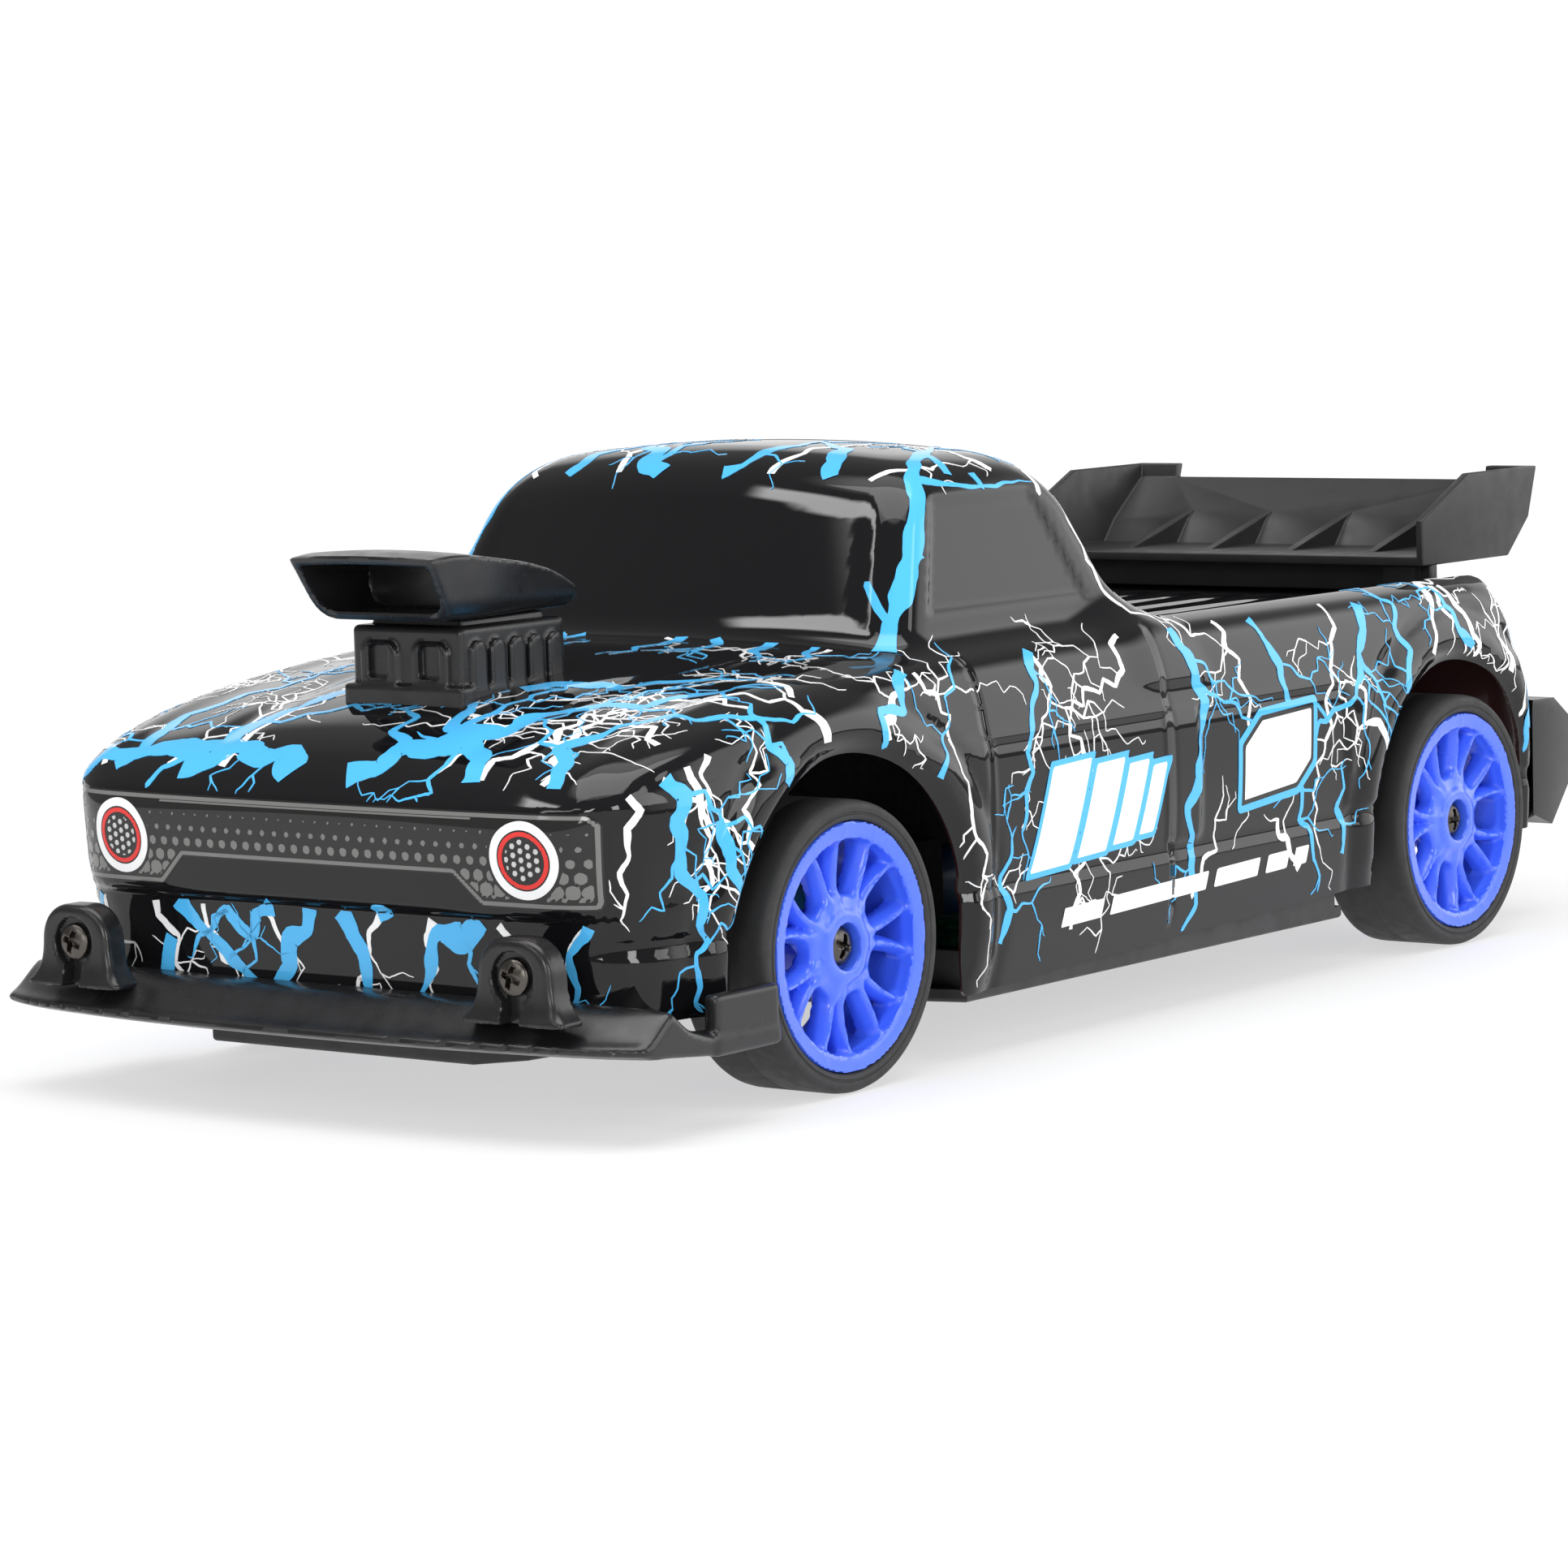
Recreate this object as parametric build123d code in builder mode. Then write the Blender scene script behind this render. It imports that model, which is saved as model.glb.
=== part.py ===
from build123d import *
import math
import os

# Remote control drift pickup, about 1:16. Millimetres, +Z up, the nose points to -Y,
# origin on the ground under the middle of the overall length and width.

os.makedirs("parts", exist_ok=True)

# ---------------------------------------------------------------- driving dimensions
YF = -83.0            # front axle
YR = 94.3             # rear axle (wheelbase 177.3)
ZA = 21.5             # axle height = tyre radius
TYRE_R = 21.5
TYRE_W = 16.0
X_FACE = 57.6         # outer face of the wheels
X_IN = X_FACE - TYRE_W
RIM_R = 18.35         # visible rim radius
BARREL_R = 15.6       # free radius inside the rim
SPOKE_PAIRS = 7
ARCH_R = 28.0
SKIN = 1.0            # body shell wall
BELT_Z = 63.0
ROOF_Z = 91.8
CLEAR = 0.07          # running clearance on pins

# front suspension
X_ARM_IN, X_ARM_OUT = 14.0, 35.6
Z_LOW, Z_UP = 13.0, 30.0
X_KING = 42.6
STEER_ARM = 11.0
SHOCK_X_F, SHOCK_Y_F = 25.0, YF - 13.0
# rear drive unit
Y_PIVOT, Z_PIVOT = YR - 38.0, 16.0
MODULE, T_PINION, T_AXLE = 0.5, 12, 44
GEAR_DIST = MODULE * (T_PINION + T_AXLE) / 2
MOTOR_Z = ZA + 4.0
MOTOR_Y = YR - math.sqrt(GEAR_DIST ** 2 - 4.0 ** 2)
MOTOR_R = 8.6
SHOCK_X_R, SHOCK_Y_R = 33.0, YR + 10.0


MID_Y = 1.7           # middle of the overall length, measured from the drawing's own zero


def save(part, name):
    placed = part.moved(Location((0, -MID_Y, 0)))
    placed.label = name
    export_step(placed, f"parts/{name}.step")


def along_x(y, z):
    """Plane whose local x is +X and local y is +Z, through (0, y, z)."""
    return Plane(origin=(0, y, z), x_dir=(1, 0, 0), z_dir=(0, -1, 0))


def facing_x(x, y=0.0, z=0.0):
    """Plane facing +X whose local x is +Y and local y is +Z."""
    return Plane(origin=(x, y, z), x_dir=(0, 1, 0), z_dir=(1, 0, 0))


def facing_y(y, x=0.0, z=0.0):
    """Plane facing +Y whose local x is -X and local y is +Z."""
    return Plane(origin=(x, y, z), x_dir=(-1, 0, 0), z_dir=(0, 1, 0))


# ---------------------------------------------------------------- wheels (left side, +X)
def wheel_rim(yc):
    with BuildPart() as rim:
        with BuildSketch(along_x(yc, ZA)):
            with BuildLine():
                Polyline(
                    (X_IN + 0.4, BARREL_R), (X_IN + 0.4, 18.6), (X_IN + 2.0, 18.6), (X_IN + 2.6, 17.2),
                    (X_FACE - 3.4, 17.2), (X_FACE - 2.8, 18.35), (X_FACE - 0.7, 18.35), (X_FACE - 0.3, 17.9),
                    (X_FACE - 0.6, 16.7), (X_FACE - 1.4, 16.3), (X_FACE - 1.4, 8.0), (X_FACE - 1.0, 5.2),
                    (X_FACE - 1.0, 3.4), (X_FACE - 3.6, 3.4), (X_FACE - 3.6, 2.07), (X_FACE - 10.6, 2.07),
                    (X_FACE - 10.6, 4.6), (X_FACE - 6.0, 5.6), (X_FACE - 5.2, 8.0), (X_FACE - 5.2, BARREL_R),
                    close=True)
            make_face()
        revolve(axis=Axis((0, yc, ZA), (1, 0, 0)))
        # seven V-shaped pairs of spokes: short windows inside each V, long ones between
        step = 360 / SPOKE_PAIRS
        for i in range(SPOKE_PAIRS):
            for mid, half_out, half_in, r_in in ((0.0, 8.6, 6.0, 9.6), (step / 2, 10.6, 6.4, 6.9)):
                a = math.radians(i * step + mid + 8)
                pts = []
                for r, h in ((r_in, half_in), (12.0, (half_out + half_in) / 2 + 0.6), (15.2, half_out)):
                    pts.append((r, a - math.radians(h)))
                for r, h in ((15.2, half_out), (12.0, (half_out + half_in) / 2 + 0.6), (r_in, half_in)):
                    pts.append((r, a + math.radians(h)))
                with BuildSketch(facing_x(X_FACE - 6.5, yc, ZA)) as win:
                    with BuildLine():
                        Polyline(*[(r * math.cos(t), r * math.sin(t)) for r, t in pts], close=True)
                    make_face()
                    fillet(win.vertices(), radius=0.55)
                extrude(amount=8, mode=Mode.SUBTRACT)
    return rim.part


def wheel_tyre(yc):
    with BuildPart() as tyre:
        with BuildSketch(along_x(yc, ZA)):
            with BuildLine():
                l1 = Polyline((X_FACE - 0.5, 18.45), (X_FACE - 0.1, 19.2))
                l2 = ThreePointArc((X_FACE - 0.1, 19.2), (X_FACE - 0.25, 20.6), (X_FACE - 1.3, TYRE_R - 0.12))
                l3 = Polyline((X_FACE - 1.3, TYRE_R - 0.12), (X_FACE - 2.2, TYRE_R), (X_IN + 2.2, TYRE_R),
                              (X_IN + 1.3, TYRE_R - 0.12))
                l4 = ThreePointArc((X_IN + 1.3, TYRE_R - 0.12), (X_IN + 0.25, 20.6), (X_IN + 0.05, 19.2))
                l5 = Polyline((X_IN + 0.05, 19.2), (X_IN + 0.35, 18.7), (X_IN + 2.1, 18.7), (X_IN + 2.7, 17.3),
                              (X_FACE - 3.5, 17.3), (X_FACE - 2.85, 18.45), (X_FACE - 0.5, 18.45))
            make_face()
        revolve(axis=Axis((0, yc, ZA), (1, 0, 0)))
    return tyre.part


def cross_screw(origin, direction, head_r, head_h, shank_r, shank_l):
    """Pan-head cross-recess screw; origin is under the head, direction points out of the head."""
    pl = Plane(origin=origin, z_dir=direction)
    with BuildPart() as s:
        with BuildSketch(pl):
            Circle(head_r)
        extrude(amount=head_h)
        fillet(s.edges().filter_by(GeomType.CIRCLE).sort_by(Axis(origin, direction))[-1], radius=head_h * 0.55)
        with BuildSketch(pl):
            Circle(shank_r)
        extrude(amount=-shank_l)
        with BuildSketch(pl.offset(head_h)):
            Rectangle(head_r * 1.15, head_r * 0.30)
            Rectangle(head_r * 0.30, head_r * 1.15)
        extrude(amount=-head_h * 0.75, mode=Mode.SUBTRACT)
    return s.part


for end, yc in (("front", YF), ("rear", YR)):
    rim_l, tyre_l = wheel_rim(yc), wheel_tyre(yc)
    screw_l = cross_screw((X_FACE - 3.5, yc, ZA), (1, 0, 0), 3.2, 2.1, 1.2, 7.0)
    save(rim_l, f"{end}_left_rim")
    save(tyre_l, f"{end}_left_tyre")
    with BuildPart() as m:
        mirror(rim_l, about=Plane.YZ)
    save(m.part, f"{end}_right_rim")
    with BuildPart() as m:
        mirror(tyre_l, about=Plane.YZ)
    save(m.part, f"{end}_right_tyre")
    with BuildPart() as m:
        mirror(screw_l, about=Plane.YZ)
    if end == "front":
        save(screw_l, "front_left_wheel_screw")
        save(m.part, "front_right_wheel_screw")
    else:
        with BuildPart() as both:
            add(screw_l)
            add(m.part)
        save(both.part, "rear_wheel_screws")


# ---------------------------------------------------------------- front suspension (left side)
with BuildPart() as knuckle:
    with BuildSketch(Plane.XY.offset(14.3)):
        with Locations((X_KING, YF)):
            Circle(3.1)
    extrude(amount=14.4)
    with BuildSketch(Plane.XY.offset(11.9)):
        with Locations((X_KING, YF)):
            Circle(1.2)
    extrude(amount=19.2)
    with BuildSketch(facing_x(X_KING, YF, ZA)):
        Circle(3.6)
    extrude(amount=4.2)
    with BuildSketch(facing_x(X_KING, YF, ZA)):
        Circle(2.0)
    extrude(amount=X_FACE - 3.7 - X_KING)
    with BuildSketch(Plane.XY.offset(14.3)):
        with Locations((X_KING, YF + STEER_ARM / 2)):
            Rectangle(4.0, STEER_ARM)
        with Locations((X_KING, YF + STEER_ARM)):
            Circle(2.0)
    extrude(amount=1.7)
    with BuildSketch(Plane.XY.offset(15.9)):
        with Locations((X_KING, YF + STEER_ARM)):
            Circle(1.0)
    extrude(amount=8.6)
    # hole for the wheel screw's shank
    with BuildSketch(facing_x(X_FACE - 3.7, YF, ZA)):
        Circle(1.22)
    extrude(amount=-7.0, mode=Mode.SUBTRACT)
save(knuckle.part, "left_knuckle")
with BuildPart() as m:
    mirror(knuckle.part, about=Plane.YZ)
save(m.part, "right_knuckle")

with BuildPart() as hub:
    # spine with a trunnion barrel at each end
    with BuildSketch(Plane.XY.offset(Z_LOW)):
        with Locations((X_ARM_OUT, YF)):
            Rectangle(3.0, 6.4)
    extrude(amount=Z_UP - Z_LOW)
    for z in (Z_LOW, Z_UP):
        with BuildSketch(Plane.XZ.offset(-YF - 3.2)):
            with Locations((X_ARM_OUT, z)):
                Circle(2.2)
        extrude(amount=6.4)
        with BuildSketch(Plane.XZ.offset(-YF - 5.9)):
            with Locations((X_ARM_OUT, z)):
                Circle(1.1)
        extrude(amount=11.8)
    # ears that carry the kingpin
    for z in (11.6, 29.0):
        with BuildSketch(Plane.XY.offset(z)):
            with Locations((X_KING, YF)):
                Circle(3.2)
            with Locations(((X_KING + X_ARM_OUT) / 2, YF)):
                Rectangle(X_KING - X_ARM_OUT, 6.2)
        extrude(amount=2.4)
    with BuildSketch(Plane.XY.offset(11.0)):
        with Locations((X_KING, YF)):
            Circle(1.2 + CLEAR)
    extrude(amount=21, mode=Mode.SUBTRACT)
save(hub.part, "left_c_hub")
with BuildPart() as m:
    mirror(hub.part, about=Plane.YZ)
save(m.part, "right_c_hub")

with BuildPart() as arm:
    with BuildSketch(Plane.XY.offset(Z_LOW - 1.5)):
        with BuildLine():
            Polyline((X_ARM_IN + 1.0, YF - 9.5), (X_ARM_IN + 1.0, YF + 9.5), (X_ARM_OUT - 4.0, YF + 6.0),
                     (X_ARM_OUT - 4.0, YF - 6.0), (29.2, YF - 16.2), (20.8, YF - 16.2), (18.0, YF - 9.5), close=True)
        make_face()
        with Locations((22.5, YF)):
            Rectangle(6.5, 7.0, mode=Mode.SUBTRACT)
    extrude(amount=3.0)
    # outer fork
    for s in (-1, 1):
        with BuildSketch(Plane.XY.offset(Z_LOW - 1.5)):
            with Locations((X_ARM_OUT - 3.0, YF + s * 4.75)):
                Rectangle(6.0, 2.5)
        extrude(amount=3.0)
        with BuildSketch(Plane.XZ.offset(-YF - s * 4.75 - 1.25)):
            with Locations((X_ARM_OUT, Z_LOW)):
                Circle(2.3)
        extrude(amount=2.5)
    with BuildSketch(Plane.XZ.offset(-YF - 12)):
        with Locations((X_ARM_OUT, Z_LOW)):
            Circle(1.1 + CLEAR)
    extrude(amount=24, mode=Mode.SUBTRACT)
    # inner pivot barrel and its trunnions
    with BuildSketch(Plane.XZ.offset(-YF - 9.5)):
        with Locations((X_ARM_IN, Z_LOW)):
            Circle(2.1)
    extrude(amount=19.0)
    with BuildSketch(Plane.XZ.offset(-YF - 12.4)):
        with Locations((X_ARM_IN, Z_LOW)):
            Circle(1.1)
    extrude(amount=24.8)
    # slot for the shock eye, and its pin
    with BuildSketch(Plane.XY.offset(Z_LOW - 3)):
        with Locations((SHOCK_X_F, SHOCK_Y_F)):
            Rectangle(6.6, 2.8)
    extrude(amount=6, mode=Mode.SUBTRACT)
    with BuildSketch(Plane.XZ.offset(-SHOCK_Y_F - 2.4)):
        with Locations((SHOCK_X_F, Z_LOW)):
            Circle(1.0)
    extrude(amount=4.8)
save(arm.part, "front_left_lower_arm")
with BuildPart() as m:
    mirror(arm.part, about=Plane.YZ)
save(m.part, "front_right_lower_arm")

with BuildPart() as uarm:
    with BuildSketch(Plane.XY.offset(Z_UP - 1.4)):
        with Locations(((X_ARM_IN + X_ARM_OUT - 3) / 2, YF)):
            Rectangle(X_ARM_OUT - X_ARM_IN - 5.0, 11.0)
        with Locations((23.0, YF)):
            Rectangle(8.0, 5.0, mode=Mode.SUBTRACT)
    extrude(amount=2.8)
    for s in (-1, 1):
        with BuildSketch(Plane.XY.offset(Z_UP - 1.4)):
            with Locations((X_ARM_OUT - 3.0, YF + s * 4.6)):
                Rectangle(6.0, 2.2)
        extrude(amount=2.8)
        with BuildSketch(Plane.XZ.offset(-YF - s * 4.6 - 1.1)):
            with Locations((X_ARM_OUT, Z_UP)):
                Circle(2.2)
        extrude(amount=2.2)
    with BuildSketch(Plane.XZ.offset(-YF - 12)):
        with Locations((X_ARM_OUT, Z_UP)):
            Circle(1.1 + CLEAR)
    extrude(amount=24, mode=Mode.SUBTRACT)
    with BuildSketch(Plane.XZ.offset(-YF - 5.5)):
        with Locations((X_ARM_IN, Z_UP)):
            Circle(2.1)
    extrude(amount=11.0)
    with BuildSketch(Plane.XZ.offset(-YF - 8.2)):
        with Locations((X_ARM_IN, Z_UP)):
            Circle(1.1)
    extrude(amount=16.4)
save(uarm.part, "front_left_upper_arm")
with BuildPart() as m:
    mirror(uarm.part, about=Plane.YZ)
save(m.part, "front_right_upper_arm")


# ---------------------------------------------------------------- shock absorbers
def shock_rod(x, y, z_eye, z_perch, pin_axis):
    """Eye on a cross pin, spring perch and rod; the rod runs up into the cylinder."""
    eye = Plane(origin=(x, y, z_eye), x_dir=(0, 0, 1), z_dir=pin_axis)
    with BuildPart() as p:
        with BuildSketch(eye.offset(-1.1)):
            Circle(2.5)
        extrude(amount=2.2)
        with BuildSketch(Plane.XY.offset(z_eye + 1.6)):
            with Locations((x, y)):
                Rectangle(2.2, 2.2)
        extrude(amount=z_perch - z_eye - 1.6)
        with BuildSketch(Plane.XY.offset(z_perch)):
            with Locations((x, y)):
                Circle(3.7)
        extrude(amount=1.2)
        with BuildSketch(Plane.XY.offset(z_perch)):
            with Locations((x, y)):
                Circle(0.9)
        extrude(amount=21.0)
        with BuildSketch(eye.offset(-3)):
            Circle(1.45)
        extrude(amount=6, mode=Mode.SUBTRACT)
    return p.part


def coil_spring(x, y, z0, z1, turns, r=3.05, wire=0.42):
    height = z1 - z0 - 2 * wire - 0.1
    with BuildPart() as p:
        with BuildLine():
            path = Helix(pitch=height / turns, height=height, radius=r, center=(x, y, z0 + wire + 0.05))
        with BuildSketch(Plane(origin=path @ 0, z_dir=path % 0)):
            Circle(wire)
        sweep(path=path, is_frenet=True)
    return p.part


def shock_cylinder(x, y, z0, z1):
    with BuildPart() as p:
        with BuildSketch(Plane.XY.offset(z0)):
            with Locations((x, y)):
                Circle(3.6)
                Circle(1.1, mode=Mode.SUBTRACT)
        extrude(amount=1.4)
        with BuildSketch(Plane.XY.offset(z0 + 1.4)):
            with Locations((x, y)):
                Circle(2.9)
                Circle(1.5, mode=Mode.SUBTRACT)
        extrude(amount=z1 - z0 - 3.4)
        with BuildSketch(Plane.XY.offset(z1 - 2.0)):
            with Locations((x, y)):
                Circle(3.2)
        extrude(amount=2.0)
    return p.part


F_PERCH, F_CYL0, F_CYL1 = 18.2, 30.5, 46.0
R_PERCH, R_CYL0, R_CYL1 = 26.0, 37.0, 53.0
rod_f = shock_rod(SHOCK_X_F, SHOCK_Y_F, Z_LOW, F_PERCH, (0, 1, 0))
rod_r = shock_rod(SHOCK_X_R, SHOCK_Y_R, ZA, R_PERCH, (1, 0, 0))
spring_f = coil_spring(SHOCK_X_F, SHOCK_Y_F, F_PERCH + 1.2, F_CYL0, 5)
spring_r = coil_spring(SHOCK_X_R, SHOCK_Y_R, R_PERCH + 1.2, R_CYL0, 4)
for nm, prt in (("front_left_shock_rod", rod_f), ("front_left_spring", spring_f),
                ("rear_left_shock_rod", rod_r), ("rear_left_spring", spring_r)):
    save(prt, nm)
    with BuildPart() as m:
        mirror(prt, about=Plane.YZ)
    save(m.part, nm.replace("left", "right"))
with BuildPart() as cyls:
    for x, y, z0, z1 in ((SHOCK_X_F, SHOCK_Y_F, F_CYL0, F_CYL1), (SHOCK_X_R, SHOCK_Y_R, R_CYL0, R_CYL1)):
        c = shock_cylinder(x, y, z0, z1)
        add(c)
        mirror(c, about=Plane.YZ)
save(cyls.part, "shock_cylinders")

# ---------------------------------------------------------------- front bulkhead with shock tower
with BuildPart() as bulk:
    with BuildSketch(Plane.XY.offset(10.5)):
        with Locations((0, YF - 4.0)):
            Rectangle(19.0, 22.0)
    extrude(amount=22.0)
    with BuildSketch(Plane.XY.offset(10.5)):
        with Locations((0, YF)):
            Rectangle(19.0, 25.2)
    extrude(amount=5.5)
    # pivot cheeks in front of and behind the arms, lower then upper
    for y0, y1, z, r in ((-12.6, -9.8, Z_LOW, 2.5), (9.8, 12.6, Z_LOW, 2.5)):
        with BuildSketch(Plane.XY.offset(10.5)):
            with Locations((0, YF + (y0 + y1) / 2)):
                Rectangle(33.0, y1 - y0)
        extrude(amount=5.5)
    for y0, y1 in ((-8.4, -5.8), (5.8, 8.4)):
        with BuildSketch(Plane.XY.offset(27.5)):
            with Locations((0, YF + (y0 + y1) / 2)):
                Rectangle(33.0, y1 - y0)
        extrude(amount=5.0)
    for x in (-X_ARM_IN, X_ARM_IN):
        with BuildSketch(Plane.XZ.offset(-YF - 13)):
            with Locations((x, Z_LOW)):
                Circle(1.1 + CLEAR)
            with Locations((x, Z_UP)):
                Circle(1.1 + CLEAR)
        extrude(amount=26, mode=Mode.SUBTRACT)
    # shock tower plate, in front of the block and clear of the cylinders
    with BuildSketch(Plane.XZ.offset(-YF + 15.0)):
        with BuildLine():
            Polyline((-9.5, 12.0), (9.5, 12.0), (9.5, 30.0), (20.5, 38.0), (20.5, 50.0), (-20.5, 50.0),
                     (-20.5, 38.0), (-9.5, 30.0), close=True)
        make_face()
        with Locations((0, 38.5)):
            Rectangle(12, 8, mode=Mode.SUBTRACT)
    extrude(amount=2.4)
    # cap shelf that the cylinders hang from
    with BuildSketch(Plane.XY.offset(F_CYL1)):
        with Locations((0, SHOCK_Y_F - 0.5)):
            Rectangle(58.0, 8.0)
    extrude(amount=2.6)
    with BuildSketch(Plane.XY.offset(10.0)):
        with Locations((-6, YF), (6, YF)):
            Circle(1.02)
    extrude(amount=6, mode=Mode.SUBTRACT)
save(bulk.part, "front_bulkhead")

# ---------------------------------------------------------------- steering
SERVO_Y = YF + 2 * STEER_ARM
with BuildPart() as servo:
    with BuildSketch(Plane.XY.offset(10.5)):
        with Locations((0, SERVO_Y + 4.5)):
            Rectangle(12.0, 22.0)
    extrude(amount=5.6)
    with BuildSketch(Plane.XY.offset(10.5)):
        with Locations((0, SERVO_Y + 4.5)):
            Rectangle(24.0, 22.0)
    extrude(amount=4.5)
    with BuildSketch(Plane.XY.offset(10.5)):
        with Locations((0, SERVO_Y)):
            Circle(5.6)
    extrude(amount=6.6)
    with BuildSketch(Plane.XY.offset(17.0)):
        with Locations((0, SERVO_Y)):
            Circle(1.9)
    extrude(amount=4.0)
save(servo.part, "steering_servo")

with BuildPart() as horn:
    with BuildSketch(Plane.XY.offset(21.2)):
        with Locations((0, SERVO_Y)):
            Circle(3.4)
        with Locations((0, SERVO_Y - STEER_ARM / 2)):
            Rectangle(4.0, STEER_ARM)
        with Locations((0, SERVO_Y - STEER_ARM)):
            Circle(2.2)
    extrude(amount=1.8)
    with BuildSketch(Plane.XY.offset(17.8)):
        with Locations((0, SERVO_Y - STEER_ARM)):
            Circle(1.0)
    extrude(amount=3.5)
    with BuildSketch(Plane.XY.offset(18.6)):
        with Locations((0, SERVO_Y)):
            Circle(3.4)
    extrude(amount=2.7)
    with BuildSketch(Plane.XY.offset(17.0)):
        with Locations((0, SERVO_Y)):
            Circle(1.9 + CLEAR)
    extrude(amount=4.1, mode=Mode.SUBTRACT)
save(horn.part, "servo_horn")

with BuildPart() as link:
    with BuildSketch(Plane.XY.offset(18.6)):
        with Locations((0, YF + STEER_ARM)):
            Rectangle(2 * X_KING - 4, 2.6)
            Rectangle(8.0, 6.6)
        with Locations((-X_KING, YF + STEER_ARM), (X_KING, YF + STEER_ARM)):
            Circle(3.1)
        with Locations((0, YF + STEER_ARM), (-X_KING, YF + STEER_ARM), (X_KING, YF + STEER_ARM)):
            SlotCenterToCenter(1.9, 2.5, rotation=90, mode=Mode.SUBTRACT)
    extrude(amount=2.0)
save(link.part, "steering_link")

# ---------------------------------------------------------------- chassis tub
def box(x0, x1, y0, y1, z0, z1, mode=Mode.ADD):
    with Locations(((x0 + x1) / 2, (y0 + y1) / 2, (z0 + z1) / 2)):
        Box(x1 - x0, y1 - y0, z1 - z0, mode=mode)


FLOOR_Z, FLOOR_T = 8.5, 2.0
HEAD_SINK = 1.05      # screw heads sit in counterbores, just below the floor's underside
FLOOR_SCREWS = [(-14, -122), (14, -122), (-16, 118.6), (16, 118.6), (-6, YF), (6, YF), (-7.0, -54), (7.0, -54),
                (-38, 52), (38, 52), (-17, 111.3), (17, 111.3)]
TOP_Z = FLOOR_Z + FLOOR_T
HALF = [(0, -131), (25, -131), (30, -124), (31, -116), (31, -60), (36, -54), (53.5, -49), (53.5, 60), (40, 63),
        (22, 66), (22, 130), (0, 130)]
with BuildPart() as tub:
    with BuildSketch(Plane.XY.offset(FLOOR_Z)):
        with BuildLine():
            Polyline(*HALF, *[(-x, y) for x, y in reversed(HALF[1:-1])], close=True)
        make_face()
    extrude(amount=FLOOR_T)
    fillet(tub.faces().sort_by(Axis.Z)[0].edges(), radius=0.7)
    for sx in (-1, 1):
        box(*sorted((sx * 51.6, sx * 53.5)), -47, 58, TOP_Z, 21.0)
        box(*sorted((sx * 31.5, sx * 51.6)), -49.5 + 2.4, -47 + 2.2, TOP_Z, 16.0)
        box(*sorted((sx * 20.0, sx * 22.0)), 66, 108, TOP_Z, 13.0)
        box(*sorted((sx * 29.0, sx * 31.0)), -124, -106, TOP_Z, 14.0)
    # battery bay ribs
    for y in (-40.6, 21.0):
        box(-17.5, 17.5, y, y + 1.6, TOP_Z, 17.0)
    # opening for the gear case, and the switch slot
    box(-14.5, 4.0, YR - 19, YR + 15, FLOOR_Z - 1, TOP_Z + 1, mode=Mode.SUBTRACT)
    box(-34.0, -30.0, -5.0, 5.0, FLOOR_Z - 1, TOP_Z + 1, mode=Mode.SUBTRACT)
    # screw holes: body posts, front and rear frames, servo
    with BuildSketch(Plane.XY.offset(FLOOR_Z - 1)):
        with Locations(*FLOOR_SCREWS):
            Circle(1.35)
    extrude(amount=FLOOR_T + 2, mode=Mode.SUBTRACT)
    with BuildSketch(Plane.XY.offset(FLOOR_Z - 1)):
        with Locations(*FLOOR_SCREWS):
            Circle(2.55)
    extrude(amount=1 + HEAD_SINK, mode=Mode.SUBTRACT)
    # the floor is cut back under the front arms, so that they can droop past it
    for sx in (-1, 1):
        box(*sorted((sx * 18.4, sx * 34.0)), YF - 18.5, YF + 15.0, FLOOR_Z - 1, TOP_Z + 8, mode=Mode.SUBTRACT)
save(tub.part, "chassis_tub")

with BuildPart() as posts:
    for x, y, z1 in ((-14, -122, 54.0), (14, -122, 54.0), (-16, 118.6, 57.55), (16, 118.6, 57.55)):
        with BuildSketch(Plane.XY.offset(TOP_Z)):
            with Locations((x, y)):
                Circle(3.6)
        extrude(amount=1.6)
        with BuildSketch(Plane.XY.offset(TOP_Z)):
            with Locations((x, y)):
                Circle(2.6)
        extrude(amount=z1 - TOP_Z)
        with BuildSketch(Plane.XY.offset(TOP_Z)):
            with Locations((x, y)):
                Circle(1.02)
        extrude(amount=9, mode=Mode.SUBTRACT)
save(posts.part, "body_posts")

with BuildPart() as scr:
    for x, y in ((-14, -122), (14, -122), (-16, 118.6), (16, 118.6)):
        add(cross_screw((x, y, FLOOR_Z + HEAD_SINK), (0, 0, -1), 2.3, 1.0, 1.0, 9.0 - HEAD_SINK))
save(scr.part, "body_post_screws")
with BuildPart() as scr2:
    for x, y in ((-6, YF), (6, YF), (-38, 52), (38, 52), (-17, 111.3), (17, 111.3)):
        add(cross_screw((x, y, FLOOR_Z + HEAD_SINK), (0, 0, -1), 2.3, 1.0, 1.0, 6.5 - HEAD_SINK))
save(scr2.part, "frame_screws")

# ---------------------------------------------------------------- rear frame with shock tower
with BuildPart() as brackets:
    for sx in (-1, 1):
        box(*sorted((sx * 31.4, sx * 34.4)), 50.5, 60.0, TOP_Z, 20.0)
        box(*sorted((sx * 34.4, sx * 41.4)), 49.0, 55.0, TOP_Z, TOP_Z + 2.0)
        with BuildSketch(facing_x(min(sx * 31, sx * 35), Y_PIVOT, Z_PIVOT)):
            Circle(1.3 + CLEAR)
        extrude(amount=4, mode=Mode.SUBTRACT)
    with BuildSketch(Plane.XY.offset(TOP_Z)):
        with Locations((-38, 52), (38, 52)):
            Circle(1.02)
    extrude(amount=5, mode=Mode.SUBTRACT)
save(brackets.part, "pivot_brackets")

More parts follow.
